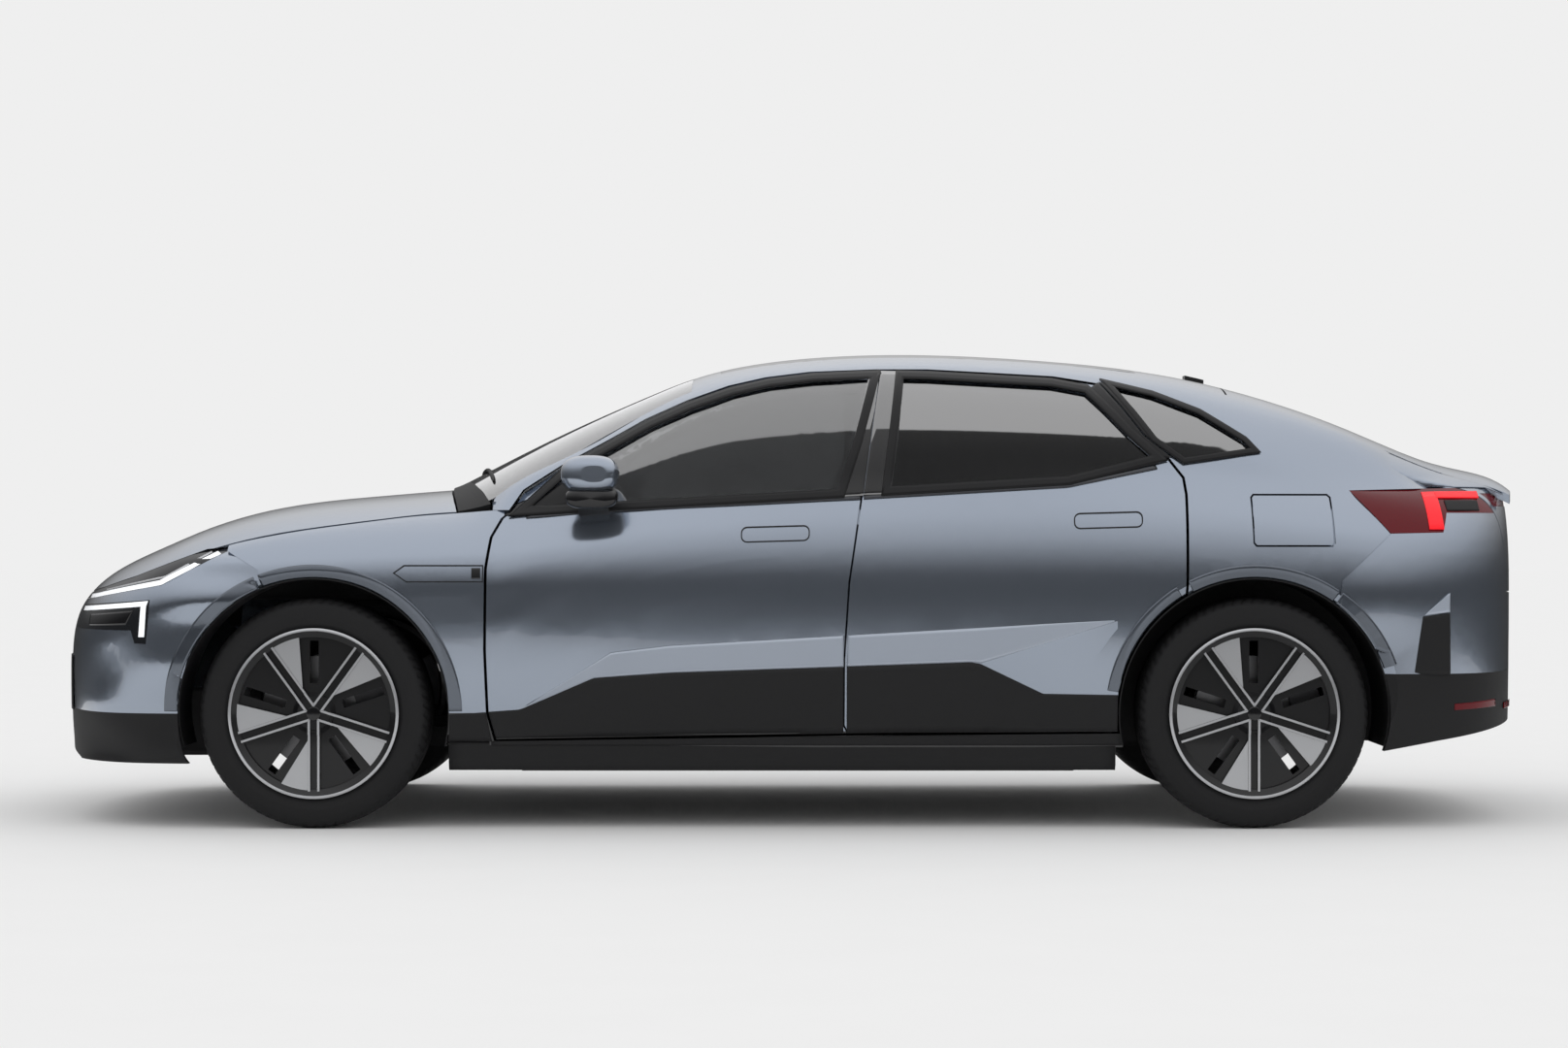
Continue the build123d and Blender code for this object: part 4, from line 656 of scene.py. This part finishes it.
def mirror_under():
    """Dark lower housing of the mirror: ovals along the vehicle's width, rounded off at both ends."""
    rows = 26
    columns = 40
    inner_y = 925
    depth = 130
    half_length = 84
    half_height = 36
    reach = np.linspace(0, 1, rows)[:, None]
    turn = np.linspace(0, FULL_TURN, columns, endpoint=False)[None]
    bulge = np.sqrt(np.clip(1 - np.abs(2 * reach - 1) ** 5, 0.0004, 1))
    x = fx(888) + half_length * bulge * signed_power(np.cos(turn), 0.7)
    y = inner_y + depth * reach + 0 * turn
    z = 1062 - 10 * reach + half_height * bulge * signed_power(np.sin(turn), 0.8)
    faces = grid_faces(rows, columns, close_columns=True)
    both_sides("mirror_under", np.stack([x, -y, z], -1), faces, gloss, "door_front_{}")


mirror_under()

# Tailgate cheeks

GATE_HALF = 713.0
CHEEK_FOOT = 1093.0


def gate_skin(x, z):
    """Body side, held inside the tailgate's own half width."""
    return np.minimum(body_side(x, z), GATE_HALF)


cheek_x = np.linspace(rx(404), rx(860), 24)
cheek_y = np.interp(cheek_x, [rx(400), rx(521), rx(921)], [575, 582, 634])
cheek_top = canopy_top(cheek_x, cheek_y)
cheek_foot = np.minimum(CHEEK_FOOT, cheek_top - 4)
patch("gate_cheek", np.stack([cheek_x, cheek_foot], -1), np.stack([cheek_x, cheek_top], -1),
      paint, "tailgate", lift=-0.5, skin=gate_skin, count=80, rows=16)

# Arch bands: sheets in darker paint round the wheel arches, painted shade on the flares

BAND_LIFT = 2.5
BAND_INNER = ARCH_RADIUS + 1
BAND_OUTER = ARCH_RADIUS + 42
FLARE_HALF = 978.0
FLARE_SLOPE = 26 / 36


def flared_side(x, z):
    """Body side drawn in toward a wheel by a cone: 22 mm at the arch's edge, nothing 30 mm outside it."""
    axle = np.where(x < 0, FRONT_AXLE_X, REAR_AXLE_X)
    cone = FLARE_HALF + (np.hypot(x - axle, z - WHEEL_Z) - ARCH_RADIUS) * FLARE_SLOPE
    return np.minimum(body_side(x, z), cone)


def arch_band(name, axle, start, end, inner, outer, body, skin=flared_side):
    """Band of painted shade round a wheel arch: arcs in degrees between two radii, laid on the skin."""
    rows = 8
    columns = 90
    angle = np.radians(np.linspace(start, end, columns))[None]
    r = np.linspace(inner, outer, rows)[:, None]
    x = axle + r * np.cos(angle)
    z = WHEEL_Z + r * np.sin(angle)
    grid = np.stack([x, -(skin(x, z) + BAND_LIFT), z], -1)
    both_sides(name, grid, grid_faces(rows, columns), painted_arch_shade, body, wall=BAND_LIFT)


bumper_skin = mesh_skin("rear_bumper")
arch_band("arch_band_wing", FRONT_AXLE_X, 1, 111.5, BAND_INNER, BAND_OUTER, "body")
arch_band("arch_band_nose", FRONT_AXLE_X, 113.2, 179, BAND_INNER, BAND_OUTER, "body",
          mesh_skin("front_bumper"))
arch_band("arch_band_quarter", REAR_AXLE_X, 55.5, 117, BAND_INNER, BAND_OUTER, "body")
arch_band("arch_band_tail", REAR_AXLE_X, 19.5, 54.5, BAND_INNER + 1, BAND_OUTER, "body", bumper_skin)
arch_band("arch_band_door", REAR_AXLE_X, 122, 171, BAND_INNER + 8, BAND_OUTER + 2, "door_rear_{}")

# Wing side element

WING_SEAM = 3.4
surround("wing_seam", [(fx(262), 816), (fx(292), 838), (fx(540), 838), (fx(540), 790), (fx(300), 790)],
         WING_SEAM, SEAM_LIFT, plastic, "body", per_edge=10)
patch("wing_camera", [(fx(506), 798), (fx(534), 798)], [(fx(506), 832), (fx(534), 832)],
      gloss, "body", lift=1.6, count=10)

# Sill

SILL_SECTION = [(936, 282), (948, 280), (953, 272), (954, 220), (948, 197), (936, 186), (900, 185)]


def sill_cover():
    """Sill moulding: a rounded section carried straight along the rocker."""
    rows = 26
    columns = 40
    ring = sample_line(SILL_SECTION, rows)[:, None]
    x = np.linspace(fx(430), rx(-442), columns)[None]
    grid = np.stack([x + 0 * ring[..., 0], -ring[..., 0] + 0 * x, ring[..., 1] + 0 * x], -1)
    both_sides("sill_cover", grid, grid_faces(rows, columns, flip=True), plastic, "body", wall=SHEET_WALL)


sill_cover()
patch("sill_strip",
      [(fx(566), 266), (rx(-421), 266)],
      [(fx(566), 278.5), (fx(1197), 288), (rx(-1069), 298), (rx(-428), 303.5)],
      plastic, "body", lift=2.0, rows=5)

# Arch walls


def arch_wall(name, x0, x1, z0, z1, y):
    """Upright sheet inside a wheel arch, its edges bent outboard by a fourth power."""
    rows = 14
    columns = 30
    edge_bend = 8
    u = np.linspace(-1, 1, columns)[None]
    v = np.linspace(-1, 1, rows)[:, None]
    x = (x0 + x1) / 2 + u * (x1 - x0) / 2 + 0 * v
    z = (z0 + z1) / 2 + v * (z1 - z0) / 2 + 0 * u
    grid = np.stack([x, -(y + edge_bend * np.maximum(u ** 4, v ** 4)), z], -1)
    both_sides(name, grid, grid_faces(rows, columns), plastic, "body", wall=SHEET_WALL)


arch_wall("arch_wall_front", fx(-330), fx(330), 728, 806, 690)
arch_wall("splash_shield_front", fx(-600), fx(-230), 206, 430, 500)

# Lamps and rear corners

GUIDE_LIFT = 1.2
TAIL_GUIDE_LIFT = 7.0
RECESS_BRIDGE = 5.0


def corner_skin(x, z):
    """The rear bumper's own side, its recess bridged 5 mm outside the body surface."""
    return np.maximum(bumper_skin(x, z), body_side(x, z) + RECESS_BRIDGE)


patch("upper_lamp_guide",
      [(NOSE_X + 120, 731), (NOSE_X + 158, 735), (fx(-484), 779), (fx(-300), 878)],
      [(NOSE_X + 120, 742), (NOSE_X + 158, 747), (fx(-490), 793), (fx(-312), 886)],
      led, "body", lift=4.5, rows=5)
patch("upper_lamp_slat",
      [(NOSE_X + 200, 757), (fx(-470), 802), (fx(-330), 882)],
      [(NOSE_X + 200, 761), (fx(-474), 807), (fx(-334), 886)],
      silver, "body", lift=3.5, rows=3)
patch("lower_lamp_guide", [(NOSE_X + 100, 689), (fx(-530), 711)], [(NOSE_X + 100, 703), (fx(-524), 727)],
      led, "body", lift=GUIDE_LIFT, rows=5)
patch("lower_lamp_drop", [(fx(-556), 612), (fx(-537), 612)], [(fx(-548), 711), (fx(-530), 713)],
      led, "body", lift=GUIDE_LIFT, count=8)
patch("lower_lamp_core", [(NOSE_X + 150, 645), (fx(-600), 650)], [(NOSE_X + 150, 680), (fx(-575), 696)],
      gloss, "body", lift=1.0, count=30)
patch("tail_guide_drop", [(rx(561), 956), (rx(610), 956)], [(rx(561), 1076), (rx(610), 1078)],
      red_glow, "body", lift=TAIL_GUIDE_LIFT, count=10)
patch("tail_guide_top", [(rx(605), 1058), (rx(760), 1058)], [(rx(605), 1078), (rx(760), 1080)],
      red_glow, "body", lift=TAIL_GUIDE_LIFT, count=30)
patch("tail_cover", [(rx(632), 1016), (rx(750), 1016)], [(rx(630), 1050), (rx(750), 1050)],
      plastic, "body", lift=4.0, count=20)
patch("rear_corner_panel", [(rx(504), 492), (rx(622), 492)], [(rx(530), 678), (rx(618), 688)],
      plastic, "body", lift=2.0, skin=corner_skin, count=24, rows=16)
# Lighter paint on the corner facet: painted highlight.
patch("rear_corner_facet", [(rx(534), 682), (rx(618), 692)], [(rx(606), 744), (rx(618), 752)],
      painted_facet_highlight, "body", lift=2.5, skin=corner_skin, count=12)
patch("rear_reflector", [(rx(640), 378), (rx(800), 384)], [(rx(640), 398), (rx(800), 408)],
      lens_red, "body", lift=2.0, count=30)

# Wheels: outlines across and along a spoke, rings as radius and depth outboard of the wheel's middle

SPOKES = 5
SPOKE_TURN = [FULL_TURN * (k + 0.5) / SPOKES for k in range(SPOKES)]
RIDGE_FOOT = 66.0
RIDGE_TIP = 250.0
RIDGE_DEPTHS = (113.2, 108)
HUB_RIDGE_TIP = 68.0
HUB_RIDGE_DEPTHS = (118.4, 112)
WEDGE_SIDE = 19.0
WEDGE_FOOT = 86.0
WEDGE_REACH = 249.0
WEDGE_TIP = math.radians(25)
WEDGE_MID = math.radians(14)
WEDGE_DEPTHS = (110.5, 104)
RIM_LIP = [(263, 124.6), (271.6, 124.6), (272.5, 122), (270, 118), (262, 123), (263, 124.6)]
HUB_CAP = [(1, 119.6), (18, 119.4), (22, 118.6), (24, 116), (20, 112), (1, 112)]
PLATE_FACES = np.array([(0, 1, 2, 3), (7, 6, 5, 4), (4, 5, 1, 0), (5, 6, 2, 1), (6, 7, 3, 2), (7, 4, 0, 3)])


def rotate_about_axle(points, angle):
    """Turn points (x, depth, z) clockwise about the wheel axle, seen from the left."""
    c = math.cos(angle)
    s = math.sin(angle)
    x = points[:, 0] * c + points[:, 2] * s
    z = points[:, 2] * c - points[:, 0] * s
    return np.stack([x, points[:, 1], z], -1)


def plates(outlines, front, back):
    """Closed plates from flat outlines of four corners, between two outboard depths."""
    points = []
    faces = []
    for k, outline in enumerate(outlines):
        o = np.asarray(outline, float)
        ahead = np.stack([o[:, 0], np.full(4, front), o[:, 1]], -1)
        behind = np.stack([o[:, 0], np.full(4, back), o[:, 1]], -1)
        points.append(np.concatenate([ahead, behind]))
        faces.append(PLATE_FACES + 8 * k)
    return np.concatenate(points), np.concatenate(faces)


def at_every_spoke(points, faces):
    """Copies of one spoke's plates, turned to each spoke."""
    turned = np.concatenate([rotate_about_axle(points, angle) for angle in SPOKE_TURN])
    return turned, np.concatenate([faces + len(points) * k for k in range(SPOKES)])


def spoke_edges():
    """Two bright ridges along each spoke, and their slanted ends on the hub."""
    inner = 11.4
    outer = 18.6
    flat = [
        [(-outer, RIDGE_FOOT), (-inner, RIDGE_FOOT), (-inner, RIDGE_TIP), (-outer, RIDGE_TIP)],
        [(inner, RIDGE_FOOT), (outer, RIDGE_FOOT), (outer, RIDGE_TIP), (inner, RIDGE_TIP)],
    ]
    near = [
        [(-outer, 26), (-inner, 17), (-inner, HUB_RIDGE_TIP), (-outer, HUB_RIDGE_TIP)],
        [(inner, 17), (outer, 26), (outer, HUB_RIDGE_TIP), (inner, HUB_RIDGE_TIP)],
    ]
    points, faces = plates(flat, *RIDGE_DEPTHS)
    hub_points, hub_faces = plates(near, *HUB_RIDGE_DEPTHS)
    faces = np.concatenate([faces, hub_faces + len(points)])
    return at_every_spoke(np.concatenate([points, hub_points]), faces)


def spoke_wedges():
    """Flat bright wedge beside each spoke, widening toward the rim."""
    flat = [
        (WEDGE_SIDE, WEDGE_FOOT),
        (WEDGE_REACH * math.sin(WEDGE_TIP), WEDGE_REACH * math.cos(WEDGE_TIP)),
        (WEDGE_REACH * math.sin(WEDGE_MID), WEDGE_REACH * math.cos(WEDGE_MID)),
        (WEDGE_SIDE, WEDGE_REACH - 2),
    ]
    return at_every_spoke(*plates([flat], *WEDGE_DEPTHS))


def ring_surface(profile, count):
    """Profile of radius and depth carried round the axle."""
    angle = np.linspace(0, FULL_TURN, count, endpoint=False)
    r = np.array([p[0] for p in profile], float)[:, None]
    d = np.array([p[1] for p in profile], float)[:, None]
    grid = np.stack([r * np.sin(angle), d + 0 * angle, r * np.cos(angle)], -1)
    return grid.reshape(-1, 3), grid_faces(len(profile), count, close_columns=True)


def wheel_trim(name, points, faces, material, smooth=False):
    """Copies of a left-wheel trim at the four corners, mirrored on the right."""
    for place, axle in (("front", FRONT_AXLE_X), ("rear", REAR_AXLE_X)):
        for side, sign in (("left", -1), ("right", 1)):
            y = sign * (WHEEL_Y + points[:, 1])
            placed = np.stack([points[:, 0] + axle, y, points[:, 2] + WHEEL_Z], -1)
            turned = faces if sign < 0 else faces[:, ::-1]
            mesh_piece(f"{name}_{place}_{side}", placed, turned, material, f"wheel_{place}_{side}", smooth)


wheel_trim("spoke_edges", *spoke_edges(), silver)
wheel_trim("spoke_wedges", *spoke_wedges(), silver)
wheel_trim("rim_lip", *ring_surface(RIM_LIP, 160), silver, True)
wheel_trim("hub_cap", *ring_surface(HUB_CAP, 64), gloss, True)

# Tyres: half a section as radius and place across, from bead to middle

TYRE_SECTION = np.array([
    (259, -98), (268, -108), (286, -119), (312, -126.5), (334, -127), (350, -121), (361, -106), (366, -84),
    (367.6, -50), (TYRE_RADIUS, 0),
], float)
TYRE_HALF = 127.4
TREAD_BLOCKS = 70
GROOVE_LANES = (22, 60)
GROOVE_HALF = 4.5
GROOVE_DEPTH = 6.5
GROOVE_FROM = 357
NOTCH_LANES = (72, 122)
NOTCH_DEPTH = 3.5
NOTCH_FROM = 352
SLIT_LANES = (28, 54)
SLIT_DEPTH = 3.0
RIB_RADII = (276, 346)
RIB_HEIGHT = 0.5
RIB_PITCH = 3.2


def cross_cuts(block, lane, slant, share, lanes):
    """Slanted cuts across a band of the tread, each a share of its block."""
    return (np.mod(block + slant * lane, 1) < share) & (lane > lanes[0]) & (lane < lanes[1])


def tyre_surface():
    """Rounded section carried round the axle, less grooves, notches and slits, plus sidewall ribs."""
    rows = 85
    columns = 420
    loop = np.concatenate([TYRE_SECTION, (TYRE_SECTION * (1, -1))[-2::-1]])
    step = line_lengths(loop)
    at = np.linspace(0, step[-1], rows)
    r = natural_curve(np.stack([step, loop[:, 0]], -1))(at)[:, None]
    w = natural_curve(np.stack([step, loop[:, 1]], -1))(at)[:, None]
    angle = np.linspace(0, FULL_TURN, columns, endpoint=False)[None]
    block = angle * TREAD_BLOCKS / FULL_TURN
    lane = np.abs(w)
    grooves = GROOVE_DEPTH * sum(np.exp(-((lane - place) / GROOVE_HALF) ** 4) for place in GROOVE_LANES)
    notch = cross_cuts(block, lane, 0.012, 0.3, NOTCH_LANES) & (r > NOTCH_FROM)
    slit = cross_cuts(block, lane, -0.02, 0.17, SLIT_LANES)
    cut = np.where(r > GROOVE_FROM, grooves, 0) + NOTCH_DEPTH * notch + SLIT_DEPTH * slit
    ribbed = (r > RIB_RADII[0]) & (r < RIB_RADII[1])
    rib = np.where(ribbed, RIB_HEIGHT * np.sin(r / RIB_PITCH), 0)
    radius = np.minimum(r - cut, TYRE_RADIUS)
    width = np.clip(w + np.sign(w) * rib + 0 * angle, -TYRE_HALF, TYRE_HALF)
    grid = np.stack([radius * np.sin(angle), width, radius * np.cos(angle)], -1)
    return grid.reshape(-1, 3), grid_faces(rows, columns, close_columns=True, flip=True)


wheel_trim("tyre_tread", *tyre_surface(), rubber, True)
for corner in ("front_left", "front_right", "rear_left", "rear_right"):
    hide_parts(f"tyre_{corner}")

# Cabin

SEAT_Y = 370.0
BENCH_HEAD_Y = 330.0
SEAT_CHANNELS = (-0.42, 0.42)
BENCH_CHANNELS = (-0.33, 0.33)


def cushion(name, middle, half, pitch, channels=()):
    """Padded form: a superellipsoid, crowned on its faces, pulled in along sewn channels."""
    rows = 40
    columns = 72
    squareness = 0.32
    crown = 0.10
    channel_depth = 0.10
    channel_width = 0.035
    u = np.linspace(-math.pi / 2, math.pi / 2, rows)[:, None]
    v = np.linspace(0, FULL_TURN, columns, endpoint=False)[None]
    x = signed_power(np.cos(u), squareness) * signed_power(np.cos(v), squareness)
    y = signed_power(np.cos(u), squareness) * signed_power(np.sin(v), squareness)
    z = (signed_power(np.sin(u), squareness) + 0 * v) * (1 + crown * (1 - x ** 2) * (1 - y ** 2))
    for line in channels:
        z = z - np.sign(z) * channel_depth * np.exp(-((y - line) / channel_width) ** 2)
    long = x * half[0]
    tall = z * half[2]
    c = math.cos(math.radians(pitch))
    s = math.sin(math.radians(pitch))
    turned = np.stack([long * c + tall * s, y * half[1], tall * c - long * s], -1)
    faces = grid_faces(rows, columns, close_columns=True)
    piece = mesh_piece(name, turned + np.array(middle, float), faces, leather, "body")


for label, y in (("left", -SEAT_Y), ("right", SEAT_Y)):
    cushion(f"seat_cushion_{label}", (fx(1460), y, 405), (268, 240, 74), 3, SEAT_CHANNELS)
    cushion(f"seat_back_{label}", (fx(1800), y, 700), (60, 232, 325), 16)
    cushion(f"seat_head_{label}", (fx(1965), y, 1108), (42, 128, 82), 16)
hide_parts("front_seats")
cushion("bench_cushion", (rx(-680), 0, 430), (205, 620, 92), -3, BENCH_CHANNELS)
cushion("bench_back", (rx(-330), 0, 780), (62, 590, 240), 22, BENCH_CHANNELS)
for label, y in (("left", -BENCH_HEAD_Y), ("right", BENCH_HEAD_Y)):
    cushion(f"bench_head_{label}", (rx(-215), y, 1030), (38, 120, 60), 20)
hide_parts("rear_bench")

# Nose and tail details

END_LIFT = 1.5


def end_patch(name, y0, y1, z0, z1, front, material):
    """Patch on the nose or tail surface between two lateral places and two heights."""
    rows = 16
    columns = 24
    y = np.linspace(y0, y1, columns)[None] + np.zeros((rows, 1))
    z = np.linspace(z0, z1, rows)[:, None] + np.zeros((1, columns))
    x = end_x(y, z, front) + (-END_LIFT if front else END_LIFT)
    grid = np.stack([x, -y, z], -1)
    both_sides(name, grid, grid_faces(rows, columns, flip=front), material, "body", wall=SHEET_WALL)


def wiper(name, y0, y1, x0, x1):
    """Wiper blade: a small round section, drawn in at its ends, carried along the foot of the windscreen."""
    rows = 10
    columns = 40
    radius = 7
    height = 8
    t = np.linspace(0, 1, columns)
    x = x0 + (x1 - x0) * t
    y = y0 + (y1 - y0) * t
    z = canopy_top(x, y) + height
    angle = np.linspace(0, FULL_TURN, rows, endpoint=False)[:, None]
    reach = radius * np.sqrt(np.clip(1 - (2 * t - 1) ** 8, 0.02, 1))
    grid = np.stack([x + reach * np.cos(angle), y + 0 * angle, z + reach * np.sin(angle)], -1)
    mesh_piece(name, grid, grid_faces(rows, columns, close_rows=True), plastic, "body")


end_patch("nose_duct", 0, 600, 362, 540, True, plastic)
end_patch("tail_reflector", 520, 720, 372, 392, False, lens_red)
wiper("wiper_left", -640, 60, fx(545), fx(452))
wiper("wiper_right", 30, 640, fx(470), fx(560))

# Studio: pale floor, even sky, and a dome that only reflections see

FLOOR_HALF = 60000.0
FLOOR_CORNERS = [(-1, -1, 0), (1, -1, 0), (1, 1, 0), (-1, 1, 0)]
DOME_SIZE = (7000, 5500, 6500)
DOME_TOP = math.radians(89.5)
CAP_TILT = math.radians(20)
EYE_LEVEL = 0.75
CAP_STOPS = ((0.0, 0.04), (0.30, 0.05), (0.54, 0.07), (0.566, 0.09), (0.580, 0.97), (1.0, 1.0))
RISE_STOPS = ((0.0, 0.04), (0.05, 0.07), (0.17, 0.28), (0.39, 0.66), (0.72, 0.97), (1.0, 1.0))
SKY = (1.0, 1.0, 1.0, 1)
BACKDROP = (0.863, 0.863, 0.863, 1)


def ramp_node(tree, stops):
    """Grey ramp from pairs of place and level."""
    ramp = tree.nodes.new("ShaderNodeValToRGB")
    for k, (place, level) in enumerate(stops):
        stop = ramp.color_ramp.elements[k] if k < 2 else ramp.color_ramp.elements.new(place)
        stop.position = place
        stop.color = (level, level, level * 1.01, 1)
    return ramp


def dome_look():
    """Emission that rises with elevation for satin finishes, and a sharp-edged cap for smooth glass."""
    mat = bpy.data.materials.new("studio_dome")
    mat.use_nodes = True
    tree = mat.node_tree
    tree.nodes.clear()
    out = tree.nodes.new("ShaderNodeOutputMaterial")
    glow = tree.nodes.new("ShaderNodeEmission")
    coords = tree.nodes.new("ShaderNodeTexCoord")
    path = tree.nodes.new("ShaderNodeLightPath")
    lowered = tree.nodes.new("ShaderNodeVectorMath")
    lowered.operation = "SUBTRACT"
    lowered.inputs[1].default_value = (0.0, 0.0, EYE_LEVEL)
    unit = tree.nodes.new("ShaderNodeVectorMath")
    unit.operation = "NORMALIZE"
    along = tree.nodes.new("ShaderNodeVectorMath")
    along.operation = "DOT_PRODUCT"
    along.inputs[1].default_value = (0.0, math.sin(CAP_TILT), math.cos(CAP_TILT))
    split = tree.nodes.new("ShaderNodeSeparateXYZ")
    cap = ramp_node(tree, CAP_STOPS)
    rise = ramp_node(tree, RISE_STOPS)
    pick = tree.nodes.new("ShaderNodeMix")
    pick.data_type = "RGBA"
    tree.links.new(coords.outputs["Object"], lowered.inputs[0])
    tree.links.new(lowered.outputs["Vector"], unit.inputs[0])
    tree.links.new(unit.outputs["Vector"], along.inputs[0])
    tree.links.new(unit.outputs["Vector"], split.inputs["Vector"])
    tree.links.new(along.outputs["Value"], cap.inputs["Fac"])
    tree.links.new(split.outputs["Z"], rise.inputs["Fac"])
    tree.links.new(path.outputs["Is Singular Ray"], pick.inputs["Factor"])
    tree.links.new(rise.outputs["Color"], pick.inputs["A"])
    tree.links.new(cap.outputs["Color"], pick.inputs["B"])
    tree.links.new(pick.outputs["Result"], glow.inputs["Color"])
    tree.links.new(glow.outputs["Emission"], out.inputs["Surface"])
    return mat


def dome():
    """Half ellipsoid round the stage, seen by mirror rays alone."""
    rows = 24
    columns = 64
    turn = np.linspace(0, FULL_TURN, columns, endpoint=False)
    lift = np.linspace(0, DOME_TOP, rows)[:, None]
    unit = np.stack([np.cos(lift) * np.cos(turn), np.cos(lift) * np.sin(turn), np.sin(lift) + 0 * turn], -1)
    faces = grid_faces(rows, columns, close_columns=True)
    piece = stage_piece("studio_dome", unit * DOME_SIZE, faces, dome_look())
    piece.visible_camera = False
    piece.visible_diffuse = False
    piece.visible_shadow = False
    piece.visible_transmission = False


def build_world():
    """Pale backdrop for camera, mirror and glass rays; even sky light for the rest."""
    world = bpy.data.worlds.new("studio")
    bpy.context.scene.world = world
    world.use_nodes = True
    tree = world.node_tree
    back = tree.nodes["Background"]
    path = tree.nodes.new("ShaderNodeLightPath")
    camera_or_mirror = tree.nodes.new("ShaderNodeMath")
    camera_or_mirror.operation = "MAXIMUM"
    or_glass = tree.nodes.new("ShaderNodeMath")
    or_glass.operation = "MAXIMUM"
    tree.links.new(path.outputs["Is Camera Ray"], camera_or_mirror.inputs[0])
    tree.links.new(path.outputs["Is Glossy Ray"], camera_or_mirror.inputs[1])
    tree.links.new(camera_or_mirror.outputs[0], or_glass.inputs[0])
    tree.links.new(path.outputs["Is Transmission Ray"], or_glass.inputs[1])
    mix = tree.nodes.new("ShaderNodeMix")
    mix.data_type = "RGBA"
    mix.inputs["A"].default_value = SKY
    mix.inputs["B"].default_value = BACKDROP
    tree.links.new(or_glass.outputs[0], mix.inputs["Factor"])
    tree.links.new(mix.outputs["Result"], back.inputs["Color"])


floor_look = finish("studio_floor", (0.86, 0.86, 0.86), 0.9, 3.0, 0.004, specular=0.0)
stage_piece("studio_floor", np.array(FLOOR_CORNERS) * FLOOR_HALF, [(0, 1, 2, 3)], floor_look)
dome()
build_world()

camera_data = bpy.data.cameras.new("camera")
camera_data.sensor_width = 36.0
camera_data.lens = 79.5
camera_data.clip_end = 300.0
camera = bpy.data.objects.new("camera", camera_data)
bpy.context.scene.collection.objects.link(camera)
camera.location = (-0.0205, -12.0, 0.972)
camera.rotation_euler = (math.radians(90), 0, 0)
bpy.context.scene.camera = camera
bpy.context.scene.view_settings.view_transform = "Standard"
